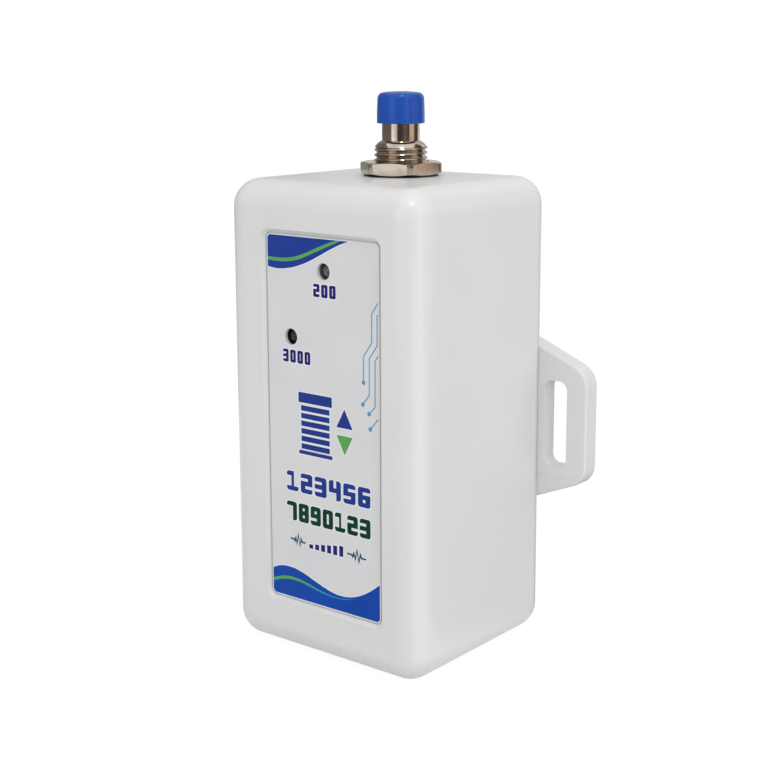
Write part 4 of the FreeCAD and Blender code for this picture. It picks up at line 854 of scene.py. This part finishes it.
def drawFigure(digit, field, weight, ink, lift=label["inkLift"], grow=0.0):
    # A plate cut along the strokes' edges; the empty cells are taken out and the outer corners rounded.
    left, low, right, high = field
    columns = cutLines(left, right, weight[0], 2, grow)
    rows = cutLines(low, high, weight[1], 3, grow)
    pick()
    centre = ((left + right) / 2 * mm, (low + high) / 2 * mm, 0)
    bpy.ops.mesh.primitive_plane_add(size=mm, location=centre)
    figure = bpy.context.object
    figure.scale = (right - left + 2 * grow, high - low + 2 * grow, 1)
    figure.name = ink + "_figure"
    settle(figure)
    setMode("EDIT")
    for lines, normal in ((columns[1:-1], (1, 0, 0)), (rows[1:-1], (0, 1, 0))):
        for line in lines:
            markAll("SELECT")
            bpy.ops.mesh.bisect(plane_co=(line * mm, line * mm, 0), plane_no=normal)
    bpy.ops.mesh.select_mode(type="FACE")
    markAll("DESELECT")
    setMode("OBJECT")
    for face in figure.data.polygons:
        column = sum(face.center.x / mm > line for line in columns[1:-1])
        row = sum(face.center.y / mm < line for line in rows[1:-1])
        face.select = cellsOf[digit][row][column] == "."
    setMode("EDIT")
    bpy.ops.mesh.delete(type="FACE")
    bpy.ops.mesh.select_mode(type="VERT")
    markAll("DESELECT")
    setMode("OBJECT")
    for corner in figure.data.vertices:
        x, y = corner.co.x / mm, corner.co.y / mm
        across, down = min(x - columns[0], columns[-1] - x), min(y - rows[0], rows[-1] - y)
        corner.select = max(across, down) < label["cornerNear"]
    setMode("EDIT")
    bpy.ops.mesh.bevel(offset=weight[1] * label["figureRound"] * mm, segments=4, affect="VERTICES")
    markAll("SELECT")
    bpy.ops.mesh.extrude_region_move(TRANSFORM_OT_translate={"value": (0, 0, label["figureThick"] * mm)})
    setMode("OBJECT")
    layInk(figure, ink, lift)


def drawNumber(text, field, gap, weight, ink):
    # Figures of even width across a field, each with its thin white line.
    left, low, right, high = field
    width = (right - left - gap * (len(text) - 1)) / len(text)
    halo = min(label["halo"], gap * label["haloShare"])
    for place, digit in enumerate(text):
        start = left + place * (width + gap)
        cell = (start, low, start + width, high)
        drawFigure(digit, cell, weight, ink)
        drawFigure(digit, cell, weight, "whiteInk", lift=label["haloLift"], grow=halo)


def slab(left, low, right, high, ink):
    haloed([(left, high), (right, high), (right, low), (left, low)], ink)


left, right, low, high, cut = (label[key] for key in ("left", "right", "low", "high", "cornerCut"))
topWave = [(left, 72.6), (-9.58, 72.38), (-7.03, 72.64), (-4.49, 73.28), (-1.98, 74.24), (0.5, 75.44),
           (2.94, 76.67), (5.36, 77.77), (7.3, high)]
haloed(topWave + [(left + cut, high), (left, high - cut)], "blueInk", corners=(0, 8, 9, 10))
topLine = band([(left, 74.12, 0.32), (-9.55, 74.04, 0.325), (-7.0, 74.19, 0.34), (-4.46, 74.74, 0.34),
                (-1.95, 75.68, 0.335), (0.52, 76.7, 0.33), (2.96, 77.67, 0.28)],
               tip=((4.5, high - 0.02), (5.6, high - 0.02)))
inkShape(topLine, "leafInk", corners=(0, 7, 8, 15), lift=label["lineLift"])

lowWave = [(left, 15.5), (-9.83, 16.3), (-7.18, 16.52), (-4.57, 16.08), (-1.99, 15.25), (0.55, 14.42),
           (3.08, 13.8), (5.08, 13.67), (7.07, 13.94), (9.05, 14.6), (11.49, 15.96), (right, 17.8)]
lowEdge = [(right, low + cut), (right - cut, low), (left + cut, low), (left, low + cut)]
haloed(lowWave + lowEdge, "royalInk", corners=(0, 11, 12, 13, 14, 15))
lowLine = band([(left, 13.2, 0.3), (-8.82, 14.19, 0.3), (-6.17, 14.38, 0.27), (-3.57, 14.08, 0.23),
                (-0.99, 13.53, 0.19), (1.55, 13.14, 0.15), (4.07, 13.06, 0.11), (6.3, 13.32, 0.07),
                (8.3, 13.95, 0.02)])
inkShape(lowLine, "leafToSkyInk", corners=(0, 8, 9, 17), lift=label["lineLift"])

traceWidth, traceDot = 0.22, 0.4
traces = [
    [(13.75, 68.35), (12.37, 66.32), (12.34, 61.3), (10.5, 58.7), (10.46, 54.3)],
    [(13.75, 66.3), (13.55, 66.03), (13.53, 60.89), (11.78, 58.42), (11.73, 51.9), (10.4, 50.3)],
    [(13.75, 59.1), (13.07, 58.18), (13.02, 49.98), (11.9, 48.8)],
    [(13.75, 47.95), (12.1, 46.1)],
]
traceDots = [(10.46, 54.03), (10.27, 50.09), (11.67, 48.58), (11.92, 45.88)]
for run in traces:
    inkShape(stroke(run, traceWidth), "skyInk", corners="all")
for x, z in traceDots:
    dot(x, z, traceDot, "skyInk")

numbers = (
    dict(text="200", field=(-1.0, 68.05, 4.25, 70.4), gap=0.38, weight=(0.66, 0.54), ink="navyInk"),
    dict(text="3000", field=(-8.5, 55.5, -1.9, 57.85), gap=0.38, weight=(0.6, 0.54), ink="navyInk"),
    dict(text="123456", field=(-8.05, 31.4, 11.85, 35.1), gap=0.56, weight=(1.12, 0.88), ink="logoInk"),
    dict(text="7890123", field=(-8.15, 25.75, 11.85, 29.3), gap=0.45, weight=(1.0, 0.84), ink="pineInk"),
)
for number in numbers:
    drawNumber(**number)

# Shutter sign: a roller box, slats, a sill and two arrows, each a base, a tip and an ink.
shutter = dict(left=-4.9, right=3.1, top=50.3, boxFoot=48.4, slats=6, slatPitch=1.42, slatHeight=1.0,
               slatInset=0.6, slatStart=0.5, sillTop=39.5, sillFoot=38.8, arrowLeft=4.1, arrowRight=7.9,
               arrows=((45.1, 48.6, "logoInk"), (43.7, 40.2, "leafInk")))
slab(shutter["left"], shutter["boxFoot"], shutter["right"], shutter["top"], "logoInk")
for step in range(shutter["slats"]):
    slatTop = shutter["boxFoot"] - shutter["slatStart"] - step * shutter["slatPitch"]
    slab(shutter["left"] + shutter["slatInset"], slatTop - shutter["slatHeight"],
         shutter["right"] - shutter["slatInset"], slatTop, "logoInk")
slab(shutter["left"], shutter["sillFoot"], shutter["right"], shutter["sillTop"], "logoInk")
for base, tip, ink in shutter["arrows"]:
    middle = (shutter["arrowLeft"] + shutter["arrowRight"]) / 2
    haloed([(shutter["arrowLeft"], base), (shutter["arrowRight"], base), (middle, tip)], ink)

# Two pulse ornaments, each a start and a stretch, with rising bars between them.
pulse = [(0, 0), (0.85, 0), (1.05, -0.35), (1.3, 0.3), (1.6, -0.7), (1.95, 1.05), (2.3, -1.1), (2.6, 0.35),
         (2.85, -0.25), (3.7, -0.25)]
pulseWidth = 0.32
for x, z, wide in ((-7.35, 22.15, 1.0), (6.4, 22.1, 1.18)):
    line = [(x + dx * wide, z + dz) for dx, dz in pulse]
    inkShape(stroke(line, pulseWidth), "tealInk", corners="all")
bars = dict(count=6, left=-2.75, pitch=1.45, width=0.95, foot=21.15, top=21.95, rise=0.24)
for step in range(bars["count"]):
    barLeft = bars["left"] + step * bars["pitch"]
    slab(barLeft, bars["foot"], barLeft + bars["width"], bars["top"] + step * bars["rise"], "navyInk")

for ink, parts in inkPieces.items():
    whole = parts[0]
    if len(parts) > 1:
        pick(*parts)
        bpy.ops.object.join()
    whole.name = "print_" + ink
    faceOutwards(whole)
    hand(whole, "housing", "label_film", finish=ink)
print("label printed:", len(inkPieces), "inks")

for node, shape in frame["nodes"].items():
    if not shape.hide_render:
        shape.data.materials.clear()
        shape.data.materials.append(finishes[slotOfNode[node]])


def grey(level):
    return (level, level, level)


# Heights in m of the boards and drapes; those on the floor also lie on it from their inner radius outwards.
upright = dict(low=0.052, high=0.35)
onFloor = dict(low=0.0004, high=0.052, inner=0.032)
behind = dict(low=0.0004, high=0.30)
studio = dict(
    ambient=0.96,
    floorTone=0.6,
    floorGlow=0.94,
    floorShade=0.1,
    aim=(0, 0, 0.045),
    lamps=(
        dict(name="key_lamp", place=(0.50, -0.52, 0.50), size=0.4, watts=0.45),
        dict(name="right_lamp", place=(0.75, -0.15, 0.30), size=0.4, watts=0.22),
        dict(name="front_lamp", place=(-0.15, -0.80, 0.20), size=0.4, watts=0.16),
        dict(name="low_lamp", place=(0.72, -0.30, 0.09), size=0.22, watts=0.6),
        dict(name="glint_lamp_1", place=(0.23, -0.217, 0.614), size=0.12, watts=0.9, glossOnly=True),
        dict(name="glint_lamp_2", place=(0.488, -0.102, 0.441), size=0.10, watts=0.45, glossOnly=True),
    ),
    # Seen only in gloss; start and end in degrees to the right of the camera's side.
    screens=(
        dict(upright, name="drape_camera_side", start=-23, end=54, tone=(0.07, 0.05, 0.045)),
        dict(upright, name="board_warm", start=54, end=88, tone=(0.76, 0.60, 0.50)),
        dict(upright, name="drape_right", start=88, end=127, tone=(0.10, 0.075, 0.06)),
        dict(upright, name="drape_left", start=-150, end=-60, tone=(0.20, 0.16, 0.14)),
        dict(onFloor, name="board_low_left", start=-115, end=-60, tone=grey(0.59)),
        dict(onFloor, name="board_camera_left", start=-60, end=8, tone=grey(0.06)),
        dict(onFloor, name="board_camera_right", start=8, end=52, tone=grey(1.33)),
        dict(onFloor, name="board_low_right", start=52, end=130, tone=grey(0.27)),
        dict(behind, name="board_back_right", start=140, end=186, tone=grey(0.6)),
        dict(behind, name="board_back_left", start=186, end=235, tone=grey(0.30)),
    ),
    screenRadius=0.2,
    screenSteps=24,
)
cameraLook = dict(place=(0.17087, -0.21225, 0.10975), azimuth=39.03, elevation=10.88, roll=-0.207, lens=69.13,
                  shiftY=-0.0577)


def emptyTree(owner):
    # A new material's or world's nodes, cleared.
    owner.use_nodes = True
    owner.node_tree.nodes.clear()
    return owner.node_tree


def splitByRay(tree, lit, seen, outputKind):
    # One shader for what lights the object, another for what the camera, gloss and glass see.
    path = tree.nodes.new("ShaderNodeLightPath")
    plain = mathNode(tree, "MAXIMUM", path.outputs["Is Camera Ray"], path.outputs["Is Glossy Ray"])
    plain = mathNode(tree, "MAXIMUM", plain, path.outputs["Is Transmission Ray"])
    either = tree.nodes.new("ShaderNodeMixShader")
    for socket, source in zip(either.inputs, (plain, lit.outputs[0], seen.outputs[0])):
        tree.links.new(source, socket)
    tree.links.new(either.outputs[0], tree.nodes.new(outputKind).inputs["Surface"])


def makeFloor():
    pick()
    bpy.ops.mesh.primitive_plane_add(size=4, location=(0, 0, 0))
    floor = bpy.context.object
    floor.name = "floor"
    material = bpy.data.materials.new("paper_floor")
    tree = emptyTree(material)
    matte = tree.nodes.new("ShaderNodeBsdfDiffuse")
    matte.inputs["Color"].default_value = grey(studio["floorTone"]) + (1,)
    faint = tree.nodes.new("ShaderNodeBsdfDiffuse")
    faint.inputs["Color"].default_value = grey(studio["floorShade"]) + (1,)
    glow = tree.nodes.new("ShaderNodeEmission")
    glow.inputs["Strength"].default_value = studio["floorGlow"]
    blend = tree.nodes.new("ShaderNodeAddShader")
    tree.links.new(faint.outputs[0], blend.inputs[0])
    tree.links.new(glow.outputs[0], blend.inputs[1])
    splitByRay(tree, matte, blend, "ShaderNodeOutputMaterial")
    floor.data.materials.append(material)


def makeWorld():
    world = bpy.data.worlds.new("studio")
    bpy.context.scene.world = world
    tree = emptyTree(world)
    backgrounds = []
    for strength in (studio["ambient"], 1.0):
        background = tree.nodes.new("ShaderNodeBackground")
        background.inputs["Color"].default_value = (1, 1, 1, 1)
        background.inputs["Strength"].default_value = strength
        backgrounds.append(background)
    splitByRay(tree, *backgrounds, "ShaderNodeOutputWorld")


def makeScreens():
    for look in studio["screens"]:
        radius = studio["screenRadius"] / mm
        profile = [(radius, look["low"] / mm), (radius, look["high"] / mm)]
        if "inner" in look:
            profile.insert(0, (look["inner"] / mm, look["low"] / mm))
        screen = drawProfile(look["name"], profile, False)
        turn = math.radians(look["start"] - look["end"])
        bpy.ops.mesh.spin(steps=studio["screenSteps"], angle=turn, center=(0, 0, 0), axis=(0, 0, 1))
        setMode("OBJECT")
        screen.rotation_euler = (0, 0, math.radians(cameraLook["azimuth"] - 90 + look["start"]))
        settle(screen)
        material = bpy.data.materials.new(look["name"])
        tree = emptyTree(material)
        glow = tree.nodes.new("ShaderNodeEmission")
        glow.inputs["Color"].default_value = look["tone"] + (1,)
        output = tree.nodes.new("ShaderNodeOutputMaterial")
        tree.links.new(glow.outputs[0], output.inputs["Surface"])
        screen.data.materials.append(material)
        screen.visible_camera = False
        screen.visible_diffuse = False
        screen.visible_shadow = False
        screen.visible_transmission = False


def makeLamps():
    for look in studio["lamps"]:
        data = bpy.data.lights.new(look["name"], "AREA")
        data.shape = "DISK"
        data.size = look["size"]
        data.energy = look["watts"]
        light = newObject(look["name"], data)
        light.location = look["place"]
        aim = Vector(studio["aim"]) - Vector(look["place"])
        light.rotation_euler = aim.to_track_quat("-Z", "Y").to_euler()
        light.visible_diffuse = not look.get("glossOnly")


def makeCamera():
    data = bpy.data.cameras.new("camera")
    data.lens = cameraLook["lens"]
    data.sensor_width = 36
    data.shift_y = cameraLook["shiftY"]
    data.clip_start = 0.01
    camera = newObject("camera", data)
    turn = (Matrix.Rotation(math.radians(cameraLook["azimuth"]), 4, "Z")
            @ Matrix.Rotation(math.radians(90 - cameraLook["elevation"]), 4, "X")
            @ Matrix.Rotation(math.radians(cameraLook["roll"]), 4, "Z"))
    camera.matrix_world = Matrix.Translation(cameraLook["place"]) @ turn
    bpy.context.scene.camera = camera


makeFloor()
makeWorld()
makeScreens()
makeLamps()
makeCamera()
bpy.context.scene.view_settings.view_transform = "Standard"
print("studio set")

bpy.context.view_layer.update()
